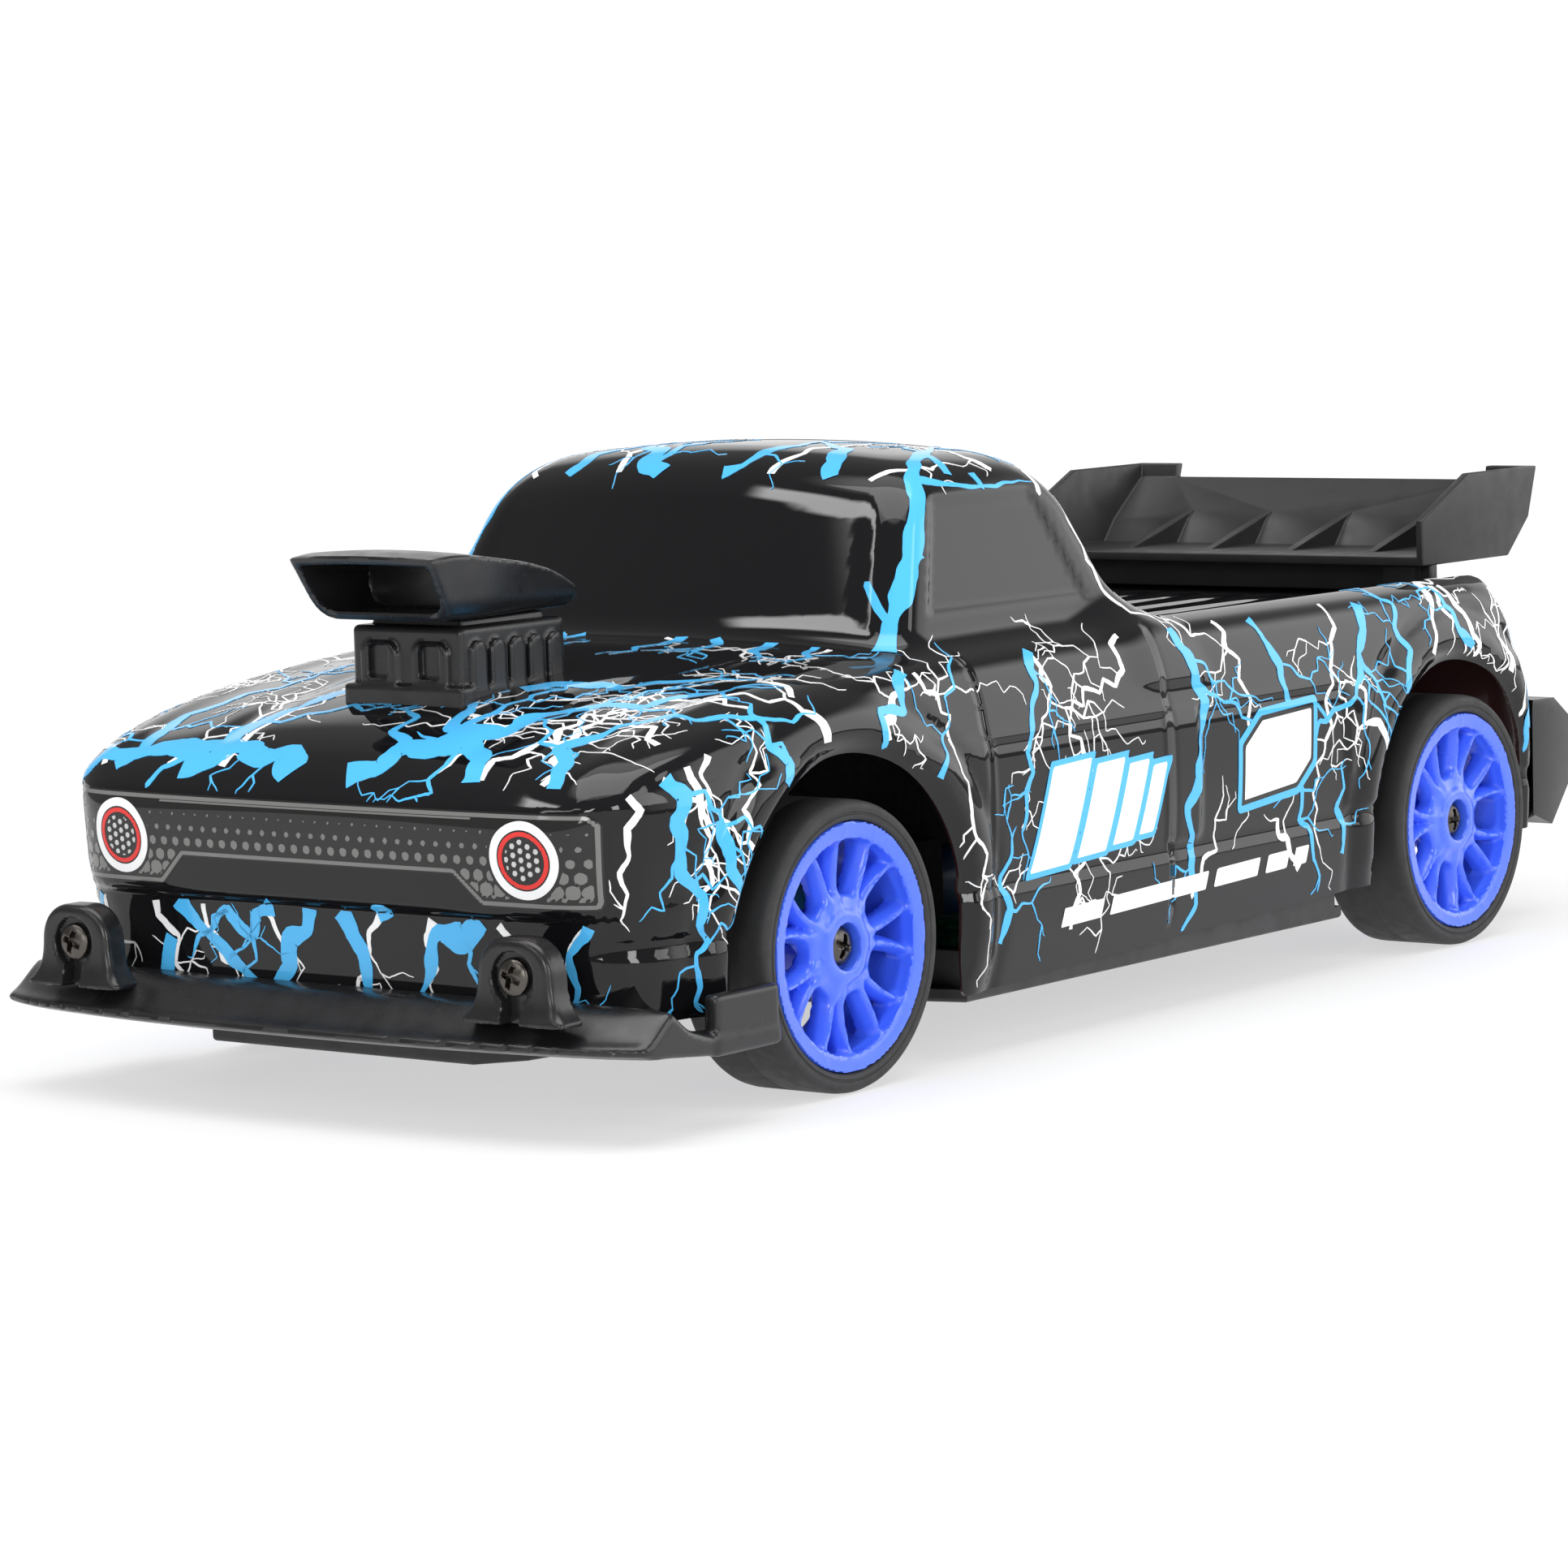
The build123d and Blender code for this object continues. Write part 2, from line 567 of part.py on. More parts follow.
with BuildPart() as rframe:
    for sx in (-1, 1):
        box(*sorted((sx * 13.0, sx * 21.0)), 108.6, 114.0, TOP_Z, TOP_Z + 4.0)
        box(*sorted((sx * 14.0, sx * 20.0)), 111.0, 113.6, TOP_Z, R_CYL1 + 2.4)
        with BuildSketch(Plane.XY.offset(R_CYL1)):
            with Locations((sx * SHOCK_X_R, SHOCK_Y_R)):
                Circle(4.0)
        extrude(amount=2.4)
        box(*sorted((sx * 14.0, sx * SHOCK_X_R)), SHOCK_Y_R - 2.5, 113.6, R_CYL1, R_CYL1 + 2.4)
    box(-14.0, 14.0, 111.0, 113.6, 44.0, R_CYL1 + 2.4)
    with BuildSketch(Plane.XY.offset(TOP_Z)):
        with Locations((-17, 111.3), (17, 111.3)):
            Circle(1.02)
    extrude(amount=5, mode=Mode.SUBTRACT)
save(rframe.part, "rear_shock_tower")

# ---------------------------------------------------------------- rear drive unit
ARM_PTS = [(Y_PIVOT - 3.2, 13.2), (Y_PIVOT - 3.2, 18.8), (Y_PIVOT + 3.2, 18.8), (YR - 26, 15.6), (YR - 5, 15.6),
           (YR - 3.6, 24.4), (YR + 3.6, 24.4), (YR + 12.2, 23.8), (YR + 12.2, 19.2), (YR + 5, 17.2),
           (YR + 3, 12.6), (Y_PIVOT + 1, 12.6)]


def axle_side(sx, x_in):
    """Axle tube, trailing arm, pivot pin and shock pin on one side."""
    pl = lambda x: facing_x(x)
    with BuildPart() as p:
        x0, x1 = sorted((x_in, sx * 36.5))
        with BuildSketch(facing_x(x0, YR, ZA)):
            Circle(3.4)
        extrude(amount=x1 - x0)
        x0, x1 = sorted((sx * 26.8, sx * 30.6))
        with BuildSketch(pl(x0)):
            with BuildLine():
                Polyline(*ARM_PTS, close=True)
            make_face()
        extrude(amount=x1 - x0)
        x0, x1 = sorted((sx * 30.6, sx * 34.2))
        with BuildSketch(facing_x(x0, Y_PIVOT, Z_PIVOT)):
            Circle(1.3)
        extrude(amount=x1 - x0)
        x0, x1 = sorted((sx * 30.6, sx * 34.8))
        with BuildSketch(facing_x(x0, SHOCK_Y_R, ZA)):
            Circle(1.0)
        extrude(amount=x1 - x0)
        x0, x1 = sorted((x_in * 1.0 - sx * 20, sx * 40))
        with BuildSketch(facing_x(x0, YR, ZA)):
            Circle(2.0 + CLEAR)
        extrude(amount=x1 - x0, mode=Mode.SUBTRACT)
    return p.part


def case_outline(grow):
    """Egg-shaped outline round the axle gear and the pinion."""
    with BuildSketch() as sk:
        with Locations((YR, ZA)):
            Circle(12.2 + grow)
        with Locations((MOTOR_Y, MOTOR_Z)):
            Circle(6.0 + grow)
        make_hull()
    return sk.sketch


with BuildPart() as gcase:
    with BuildSketch(facing_x(-1.5)):
        add(case_outline(1.2))
    extrude(amount=2.0)
    with BuildSketch(facing_x(-8.5)):
        add(case_outline(1.2))
        add(case_outline(0.0), mode=Mode.SUBTRACT)
    extrude(amount=7.0)
    add(axle_side(1, 0.5))
    # motor mounting ring: the motor's boss passes through the plate
    with BuildSketch(facing_x(-2, MOTOR_Y, MOTOR_Z)):
        Circle(3.05)
    extrude(amount=3, mode=Mode.SUBTRACT)
    with BuildSketch(facing_x(-2, YR, ZA)):
        Circle(2.0 + CLEAR)
    extrude(amount=40, mode=Mode.SUBTRACT)
save(gcase.part, "gearbox_housing")

with BuildPart() as gcover:
    with BuildSketch(facing_x(-10.0)):
        add(case_outline(1.2))
    extrude(amount=1.5)
    add(axle_side(-1, -10.0))
    with BuildSketch(facing_x(-40, YR, ZA)):
        Circle(2.0 + CLEAR)
    extrude(amount=40, mode=Mode.SUBTRACT)
save(gcover.part, "gearbox_cover")

with BuildPart() as motor:
    with BuildSketch(facing_x(0.5, MOTOR_Y, MOTOR_Z)):
        Circle(MOTOR_R)
    extrude(amount=25.0)
    fillet(motor.edges().filter_by(GeomType.CIRCLE), radius=1.2)
    with BuildSketch(facing_x(25.5, MOTOR_Y, MOTOR_Z)):
        Circle(3.0)
    extrude(amount=1.0)
    with BuildSketch(facing_x(-1.5, MOTOR_Y, MOTOR_Z)):
        Circle(3.0)
    extrude(amount=2.0)
    box(0.5 + 4, 0.5 + 20, MOTOR_Y - 3, MOTOR_Y + 3, MOTOR_Z + MOTOR_R - 0.6, MOTOR_Z + MOTOR_R + 0.5)
    # trim the can where the axle tube passes
    with BuildSketch(facing_x(0.4, YR, ZA)):
        Circle(3.42)
    extrude(amount=40, mode=Mode.SUBTRACT)
    with BuildSketch(facing_x(-1.6, MOTOR_Y, MOTOR_Z)):
        Circle(1.0 + CLEAR)
    extrude(amount=8, mode=Mode.SUBTRACT)
save(motor.part, "drive_motor")


def spur_gear(x0, width, y, z, teeth, phase, bore):
    """Straight-toothed wheel with slim teeth (room for backlash), axis along X."""
    rp = MODULE * teeth / 2
    ra, rf = rp + 0.85 * MODULE, rp - 1.15 * MODULE
    half = math.pi / (2 * teeth) * 0.80
    with BuildPart() as g:
        with BuildSketch(facing_x(x0, y, z)):
            Circle(rf)
            with BuildLine():
                pts = []
                for r, k in ((rf - 0.3, 1.30), (rp, 1.0), (ra, 0.42)):
                    pts.append((r * math.cos(half * k), -r * math.sin(half * k)))
                for r, k in ((ra, 0.42), (rp, 1.0), (rf - 0.3, 1.30)):
                    pts.append((r * math.cos(half * k), r * math.sin(half * k)))
                Polyline(*pts, close=True)
            tooth = make_face()
            with PolarLocations(0, teeth, start_angle=math.degrees(phase)):
                add(tooth.face())
            Circle(bore, mode=Mode.SUBTRACT)
        extrude(amount=width)
    return g.part


# mesh phase along the line of centres: a tooth of the axle gear faces a gap of the pinion
LINE = math.atan2(MOTOR_Z - ZA, MOTOR_Y - YR)
axle_gear = spur_gear(-6.6, 4.2, YR, ZA, T_AXLE, LINE, 2.0)
pinion = spur_gear(-7.0, 5.0, MOTOR_Y, MOTOR_Z, T_PINION, LINE + math.pi + math.pi / T_PINION, 1.0)
save(axle_gear, "axle_gear")
with BuildPart() as pin:
    add(pinion)
    with BuildSketch(facing_x(-7.4, MOTOR_Y, MOTOR_Z)):
        Circle(1.0)
    extrude(amount=12.5)
save(pin.part, "motor_pinion")

with BuildPart() as axle:
    with BuildSketch(facing_x(-X_FACE + 3.7, YR, ZA)):
        Circle(2.0)
    extrude(amount=2 * (X_FACE - 3.7))
    for sx in (-1, 1):
        with BuildSketch(facing_x(min(sx * 37.0, sx * (X_FACE - 10.8)), YR, ZA)):
            Circle(3.0)
        extrude(amount=X_FACE - 10.8 - 37.0)
        with BuildSketch(facing_x(sx * (X_FACE - 3.6), YR, ZA)):
            Circle(1.2)
        extrude(amount=-sx * 8.0, mode=Mode.SUBTRACT)
save(axle.part, "rear_axle")

# ---------------------------------------------------------------- electrics
with BuildPart() as pack:
    for x in (-7.3, 7.3):
        with BuildSketch(Plane.XZ.offset(38.6)):
            with Locations((x, TOP_Z + 7.4)):
                Circle(7.1)
        extrude(amount=-58.8)
    box(-7.3, 7.3, -38.2, 19.8, TOP_Z + 0.3, TOP_Z + 14.5)
save(pack.part, "battery_pack")

with BuildPart() as strap:
    box(-17.6, 17.6, -14, -4, TOP_Z, TOP_Z + 16.6)
    box(-15.6, 15.6, -15, -3, TOP_Z - 1, TOP_Z + 15.1, mode=Mode.SUBTRACT)
    for sx in (-1, 1):
        box(*sorted((sx * 17.6, sx * 23.0)), -14, -4, TOP_Z, TOP_Z + 1.6)
save(strap.part, "battery_strap")

with BuildPart() as board:
    box(26.5, 48.0, -34, 12, TOP_Z + 4.0, TOP_Z + 5.2)
    for x, y in ((29, -31.5), (45.5, -31.5), (29, 9.5), (45.5, 9.5)):
        with BuildSketch(Plane.XY.offset(TOP_Z)):
            with Locations((x, y)):
                Circle(1.6)
        extrude(amount=4.0)
    box(29.5, 37.5, -24, -15, TOP_Z + 5.2, TOP_Z + 6.6)
    box(31.0, 38.0, -8, 4, TOP_Z + 5.2, TOP_Z + 8.4)
    for y in (-24, -17):
        with BuildSketch(Plane.XY.offset(TOP_Z + 5.2)):
            with Locations((43.0, y)):
                Circle(2.5)
        extrude(amount=6.0)
save(board.part, "control_board")

with BuildPart() as sw:
    box(-36.0, -28.0, -8.0, 8.0, TOP_Z, TOP_Z + 5.0)
    box(-34.6, -29.4, -5.8, 5.8, TOP_Z - 1, TOP_Z + 3.2, mode=Mode.SUBTRACT)
save(sw.part, "switch_housing")
with BuildPart() as knob:
    box(-34.2, -29.8, -3.2, 3.2, TOP_Z + 0.2, TOP_Z + 2.4)
    box(-33.5, -30.5, -1.6, 1.6, FLOOR_Z - 1.3, TOP_Z + 0.4)
save(knob.part, "power_switch")

# ---------------------------------------------------------------- body shell
# side silhouette (y, z) of the lower body at the middle, nose to tail
SIDE = [(-134.0, 15.0), (-133.0, 29.5), (-135.2, 31.0), (-136.4, 46.6), (-134.0, 49.8), (-129.0, 53.6), (-122.0, 56.4),
        (-110.0, 59.0), (-95.0, 61.2), (-80.0, 62.4), (-62.0, 63.6), (5.0, 63.6), (118.0, 63.6), (120.6, 61.0),
        (124.3, 54.1), (127.2, 45.3), (129.9, 33.5), (131.2, 24.8), (131.0, 17.0), (70.0, 14.0), (0.0, 11.0),
        (-56.0, 10.0)]
# front-view section (x, z), right half
SECT = [(0.0, 9.0), (55.5, 9.0), (56.5, 12.5), (57.2, 27.0), (57.2, 47.0), (55.6, 54.0), (54.0, 58.0), (51.5, 61.3),
        (46.0, 62.9), (0.0, 64.2)]
# plan outline (x, y), right half
PLAN = [(0.0, -137.0), (45.0, -136.6), (50.5, -133.5), (53.5, -124.0), (56.0, -112.0), (57.4, -100.0), (57.4, 112.0),
        (54.5, 122.0), (52.0, 129.0), (49.0, 131.6), (0.0, 132.0)]
# cab: (half width, y front, y rear) at belt and at roof
CAB_BELT = (48.0, -58.5, 8.0)
CAB_ROOF = (39.6, -43.5, -6.5)
ARCHES = ((YF + 2.0, ARCH_R), (YR - 0.3, ARCH_R - 0.5))


def mirrored(pts):
    return pts + [(-x, y) for x, y in reversed(pts) if x > 0.01]


def lower_solid(t):
    with BuildPart() as p:
        with BuildSketch(facing_x(-60)):
            with BuildLine():
                Polyline(*SIDE, close=True)
            make_face()
            if t:
                offset(amount=-t, kind=Kind.INTERSECTION, mode=Mode.REPLACE)
        extrude(amount=120)
        with BuildSketch(Plane.XZ.offset(140)):
            with BuildLine():
                Polyline(*mirrored(SECT), close=True)
            make_face()
            if t:
                offset(amount=-t, kind=Kind.INTERSECTION, mode=Mode.REPLACE)
        extrude(amount=-280, mode=Mode.INTERSECT)
        with BuildSketch(Plane.XY):
            with BuildLine():
                Polyline(*mirrored(PLAN), close=True)
            make_face()
            if t:
                offset(amount=-t, kind=Kind.INTERSECTION, mode=Mode.REPLACE)
        extrude(amount=80, mode=Mode.INTERSECT)
    return p.part


def cab_solid(t):
    (w0, f0, r0), (w1, f1, r1) = CAB_BELT, CAB_ROOF
    with BuildPart() as p:
        with BuildSketch(Plane.XY.offset(56.0)):
            with Locations((0, (f0 + r0) / 2 + 0.4)):
                Rectangle(2 * (w0 + 1.0 - t), r0 - f0 + 3.6 - 2 * t)
        with BuildSketch(Plane.XY.offset(ROOF_Z - 2.6 - t)):
            with Locations((0, (f1 + r1) / 2)):
                Rectangle(2 * (w1 - t), r1 - f1 - 2 * t)
        loft()
        with BuildSketch(Plane.XY.offset(ROOF_Z - 2.6 - t)):
            with Locations((0, (f1 + r1) / 2)):
                Rectangle(2 * (w1 - t), r1 - f1 - 2 * t)
        with BuildSketch(Plane.XY.offset(ROOF_Z - t)):
            with Locations((0, (f1 + r1) / 2 + 0.6)):
                Rectangle(2 * (w1 - 4.5 - t), r1 - f1 - 9 - 2 * t)
        loft()
    return p.part


outer_lower, outer_cab = lower_solid(0.0), cab_solid(0.0)
with BuildPart() as shell:
    add(outer_lower)
    add(outer_cab)
    # bed: a shallow tray between the rails
    box(-46.5, 46.5, 12.0, 119.5, 58.6, 70.0, mode=Mode.SUBTRACT)
    # cavity: the same three outlines, one skin thickness in
    with BuildPart(mode=Mode.PRIVATE) as cavity:
        add(lower_solid(SKIN))
        add(cab_solid(SKIN))
        box(-46.5 - SKIN, 46.5 + SKIN, 12.0 - SKIN, 119.5 + SKIN, 58.6 - SKIN, 70.0, mode=Mode.SUBTRACT)
    add(cavity.part, mode=Mode.SUBTRACT)
    # open bottom
    with BuildPart(mode=Mode.PRIVATE) as belly:
        with BuildSketch(facing_x(-60)):
            with BuildLine():
                Polyline((-132.6, 0.0), (-132.6, 17.6), (-56.0, 12.6), (0.0, 13.6), (70.0, 16.6), (129.8, 19.6),
                         (129.8, 0.0), close=True)
            make_face()
        extrude(amount=120)
        with BuildSketch(Plane.XY.offset(-5)):
            with BuildLine():
                Polyline(*mirrored(PLAN), close=True)
            make_face()
            offset(amount=-2.6, kind=Kind.INTERSECTION, mode=Mode.REPLACE)
        extrude(amount=80, mode=Mode.INTERSECT)
    add(belly.part, mode=Mode.SUBTRACT)
    # raised pads under the wing's feet
    for x in (-36.0, 36.0):
        box(x - 3.8, x + 3.8, 108.7, 119.3, 58.0, 59.1)
    box(-41.8, 41.8, 110.8, 114.8, 58.0, 59.1)
    # wheel arches
    for yc, r in ARCHES:
        for sx in (-1, 1):
            with BuildSketch(facing_x(min(sx * 38.0, sx * 62.0), yc, ZA)):
                Circle(r)
                with Locations((0, -20)):
                    Rectangle(2 * r - 1.5, 40)
            extrude(amount=24, mode=Mode.SUBTRACT)
save(shell.part, "body_shell")

# ---------------------------------------------------------------- parts carried on the shell
HOOD_FLAT = 61.9
with BuildPart() as blower:
    box(-10.8, 10.8, -113.5, -89.5, 52.0, 69.2)
    for i in range(5):
        for sx in (-1, 1):
            box(*sorted((sx * 10.8, sx * 11.5)), -111.6 + i * 4.6, -109.4 + i * 4.6, 52.0, 68.0)
    with BuildSketch(Plane.XZ.offset(114.3)):
        with Locations((0, 60.5)):
            Rectangle(19.0, 10.0)
        with Locations((0, 65.5)):
            Circle(3.4)
    extrude(amount=-1.0)
    box(-8.5, 8.5, -111.0, -92.0, 69.2, 70.2)
    add(outer_lower, mode=Mode.SUBTRACT)
save(blower.part, "blower_block")

with BuildPart() as scoop:
    with BuildSketch(facing_x(-13.8)):
        with BuildLine():
            Polyline((-117.0, 70.2), (-123.2, 79.8), (-118.0, 80.6), (-94.0, 77.0), (-86.8, 74.2), (-86.4, 71.0),
                     (-88.0, 70.2), close=True)
        make_face()
    extrude(amount=27.6)
    with BuildSketch(Plane.XY.offset(68)):
        with BuildLine():
            Polyline((-13.8, -124.0), (13.8, -124.0), (13.8, -112.0), (11.0, -86.0), (-11.0, -86.0), (-13.8, -112.0),
                     close=True)
        make_face()
    extrude(amount=14, mode=Mode.INTERSECT)
    # sides lean in towards a rounded belly
    with BuildSketch(Plane.XZ.offset(126)) as belly_cut:
        with BuildLine():
            Polyline((-13.8, 82.0), (13.8, 82.0), (13.8, 78.6), (11.8, 70.2), (-11.8, 70.2), (-13.8, 78.6), close=True)
        make_face()
        fillet(belly_cut.vertices().sort_by(Axis.Z)[:2], 2.6)
    extrude(amount=-42, mode=Mode.INTERSECT)
    # intake
    with BuildSketch(Plane.XZ.offset(126)) as mouth:
        with BuildLine():
            Polyline((-12.4, 78.9), (12.4, 78.9), (10.9, 71.6), (-10.9, 71.6), close=True)
        make_face()
        fillet(mouth.vertices().sort_by(Axis.Z)[:2], 2.0)
        fillet(mouth.vertices().sort_by(Axis.Z)[-2:], 0.8)
    extrude(amount=-16, mode=Mode.SUBTRACT)
save(scoop.part, "air_scoop")

with BuildPart() as wing:
    plate = [(107.8, 63.8), (107.8, 71.8), (124.0, 79.2), (148.6, 79.3), (145.5, 70.3), (138.0, 63.8)]
    with BuildSketch(facing_x(-42.3)):
        with BuildLine():
            Polyline(*plate, close=True)
        make_face()
    extrude(amount=84.6)
    # hollow it into a U: floor, two end plates and the leaning back wall
    with BuildSketch(facing_x(-40.9)):
        with BuildLine():
            Polyline((100.0, 65.4), (133.0, 65.4), (136.5, 69.4), (146.2, 76.8), (146.8, 84.0), (100.0, 84.0), close=True)
        make_face()
    extrude(amount=81.8, mode=Mode.SUBTRACT)
    box(-33.0, 33.0, 140.0, 152.0, 76.8, 82.0, mode=Mode.SUBTRACT)
    for x in (-25.5, -8.5, 8.5, 25.5):
        with BuildSketch(facing_x(x - 0.8)):
            with BuildLine():
                Polyline((118.0, 65.2), (138.0, 65.2), (144.4, 74.6), (139.0, 71.2), close=True)
            make_face()
        extrude(amount=1.6)
    # feet that stand on the bed floor
    for x in (-36.0, 36.0):
        box(x - 3.0, x + 3.0, 109.5, 118.5, 59.1, 64.5)
    # skirt down to the bed between the feet
    box(-41.0, 41.0, 112.0, 113.6, 59.1, 64.5)
save(wing.part, "rear_wing")

with BuildPart() as split:
    with BuildSketch(Plane.XY.offset(10.0)):
        with BuildLine():
            Polyline((0, -145.2), (26.0, -144.4), (46.0, -142.0), (58.0, -139.4), (61.4, -137.4), (61.4, -126.0),
                     (61.4, -106.0), (59.8, -106.0), (55.0, -108.6), (50.0, -112.0), (42.0, -114.0), (32.6, -120.0),
                     (32.6, -132.5), (0, -132.5))
            Polyline((0, -132.5), (-32.6, -132.5), (-32.6, -120.0), (-42.0, -114.0), (-50.0, -112.0), (-55.0, -108.6),
                     (-59.8, -106.0), (-61.4, -106.0), (-61.4, -126.0), (-61.4, -137.4), (-58.0, -139.4),
                     (-46.0, -142.0), (-26.0, -144.4), (0, -145.2))
        make_face()
    extrude(amount=12.0)
    with BuildSketch(facing_x(-62)):
        with BuildLine():
            Polyline((-146.0, 12.8), (-145.2, 15.0), (-141.0, 17.8), (-138.6, 18.6), (-132.0, 18.6), (-126.0, 15.0),
                     (-118.0, 13.4), (-105.0, 13.4), (-105.0, 11.0), (-118.0, 11.0), (-134.0, 12.4), close=True)
        make_face()
    extrude(amount=124, mode=Mode.INTERSECT)
    # winglets beside the front wheels
    for sx in (-1, 1):
        box(*sorted((sx * 59.8, sx * 61.4)), -120.0, -106.0, 11.0, 19.4)
    # an arched tab at each screw, notched below the screw
    with BuildSketch(Plane.XZ.offset(141.0)):
        for x in (-42.1, 42.1):
            with Locations((x, 22.4)):
                RectangleRounded(12.8, 12.6, 2.6)
            with Locations((x, 18.4)):
                Rectangle(14.6, 4.4)
    extrude(amount=-3.0)
    for x in (-42.1, 42.1):
        with BuildSketch(Plane.XZ.offset(143)):
            with Locations((x, 23.6)):
                Circle(1.25)
        extrude(amount=-9, mode=Mode.SUBTRACT)
        box(x - 1.8, x + 1.8, -142.0, -139.4, 18.7, 21.6, mode=Mode.SUBTRACT)
    add(outer_lower, mode=Mode.SUBTRACT)
save(split.part, "front_splitter")

with BuildPart() as sscrews:
    for x in (-42.1, 42.1):
        add(cross_screw((x, -141.0, 23.6), (0, -1, 0), 2.9, 1.7, 1.2, 3.6))
save(sscrews.part, "splitter_screws")

with BuildPart() as bumper:
    with BuildSketch(facing_x(-52.5)):
        with BuildLine():
            Polyline((128.0, 39.0), (135.5, 38.9), (140.8, 35.4), (141.3, 30.2), (141.1, 23.7), (134.4, 16.4),
                     (124.2, 20.0), (124.2, 24.0), close=True)
        make_face()
    extrude(amount=105.0)
    with BuildSketch(facing_x(-50.5)):
        with BuildLine():
            Polyline((120.0, 21.5), (133.6, 18.8), (138.6, 24.6), (138.8, 30.0), (138.6, 34.2), (134.6, 36.4),
                     (120.0, 36.6), close=True)
        make_face()
    extrude(amount=101.0, mode=Mode.SUBTRACT)
    for x in (-30, 0, 30):
        box(x - 1.0, x + 1.0, 131.0, 139.6, 20.0, 36.8)
    add(outer_lower, mode=Mode.SUBTRACT)
save(bumper.part, "rear_bumper")
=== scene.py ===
import math
import bpy
import bmesh
import numpy as np
from mathutils import Matrix, Vector


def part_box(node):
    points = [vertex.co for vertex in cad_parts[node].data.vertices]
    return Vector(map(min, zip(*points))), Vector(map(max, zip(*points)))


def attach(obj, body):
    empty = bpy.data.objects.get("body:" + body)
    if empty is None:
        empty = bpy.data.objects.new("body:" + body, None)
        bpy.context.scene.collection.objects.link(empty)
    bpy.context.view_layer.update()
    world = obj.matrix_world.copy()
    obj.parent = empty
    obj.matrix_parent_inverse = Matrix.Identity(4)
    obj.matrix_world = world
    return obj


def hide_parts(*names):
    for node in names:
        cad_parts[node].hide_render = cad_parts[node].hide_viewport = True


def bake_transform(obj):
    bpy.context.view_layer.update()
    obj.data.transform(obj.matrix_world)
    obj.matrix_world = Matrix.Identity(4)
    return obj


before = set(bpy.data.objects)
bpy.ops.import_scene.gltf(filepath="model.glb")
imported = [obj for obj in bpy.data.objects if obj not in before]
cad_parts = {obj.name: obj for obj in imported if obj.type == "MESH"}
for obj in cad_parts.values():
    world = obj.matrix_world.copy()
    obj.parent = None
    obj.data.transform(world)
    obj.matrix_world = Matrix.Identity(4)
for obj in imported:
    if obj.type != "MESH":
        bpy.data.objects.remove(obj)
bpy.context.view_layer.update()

# All shapes below are drawn in millimetres about the drawing's own zero, which lies MID mm behind the frame's origin.
MID = 1.7
YF, YR, ZA = -83.0, 94.3, 21.5
X_FACE, TYRE_R, TYRE_W = 57.6, 21.5, 16.0
RNG = np.random.default_rng(20260)


# ------------------------------------------------------------------ small helpers
def to_m(v):
    v = np.asarray(v, float).reshape(-1, 3).copy()
    v[:, 1] -= MID
    return v * 0.001


def make(name, verts, faces, mat, body, smooth=True, angle=None, replaces=()):
    me = bpy.data.meshes.new(name)
    me.from_pydata(to_m(verts).tolist(), [], [list(map(int, f)) for f in faces])
    me.validate()
    me.update()
    o = bpy.data.objects.new(name, me)
    bpy.context.scene.collection.objects.link(o)
    me.materials.append(mat)
    if smooth:
        me.polygons.foreach_set("use_smooth", np.ones(len(me.polygons), bool))
        if angle is not None:
            me.set_sharp_from_angle(angle=math.radians(angle))
    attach(o, body)
    if replaces:
        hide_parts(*replaces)
    return o


def bm_finish(bm, name, mat, body, bevel=0.0, segments=2, angle=30, replaces=()):
    """bmesh in drawing millimetres -> object, with its edges over 25 degrees rounded."""
    bmesh.ops.remove_doubles(bm, verts=bm.verts, dist=0.001)
    bmesh.ops.recalc_face_normals(bm, faces=bm.faces)
    if bevel > 0:
        es = [e for e in bm.edges if len(e.link_faces) == 2 and e.calc_face_angle(0) > math.radians(25)]
        bmesh.ops.bevel(bm, geom=es, offset=bevel, segments=segments, profile=0.5, affect="EDGES", clamp_overlap=True)
    me = bpy.data.meshes.new(name)
    bm.to_mesh(me)
    bm.free()
    co = np.empty(len(me.vertices) * 3)
    me.vertices.foreach_get("co", co)
    me.vertices.foreach_set("co", to_m(co).ravel())
    me.update()
    o = bpy.data.objects.new(name, me)
    bpy.context.scene.collection.objects.link(o)
    me.materials.append(mat)
    me.polygons.foreach_set("use_smooth", np.ones(len(me.polygons), bool))
    me.set_sharp_from_angle(angle=math.radians(angle))
    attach(o, body)
    if replaces:
        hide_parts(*replaces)
    return o


def prism(bm, pts, axis, a0, a1):
    """Closed prism over a polygon. axis x: pts are (y, z); axis y: pts are (x, z); axis z: pts are (x, y)."""
    place = {"x": lambda p, t: (t, p[0], p[1]), "y": lambda p, t: (p[0], t, p[1]), "z": lambda p, t: (p[0], p[1], t)}[axis]
    lo = [bm.verts.new(place(p, a0)) for p in pts]
    hi = [bm.verts.new(place(p, a1)) for p in pts]
    n = len(pts)
    bm.faces.new(lo[::-1])
    bm.faces.new(hi)
    for i in range(n):
        bm.faces.new((lo[i], lo[(i + 1) % n], hi[(i + 1) % n], hi[i]))


def block(bm, x0, x1, y0, y1, z0, z1):
    prism(bm, [(x0, y0), (x1, y0), (x1, y1), (x0, y1)], "z", z0, z1)


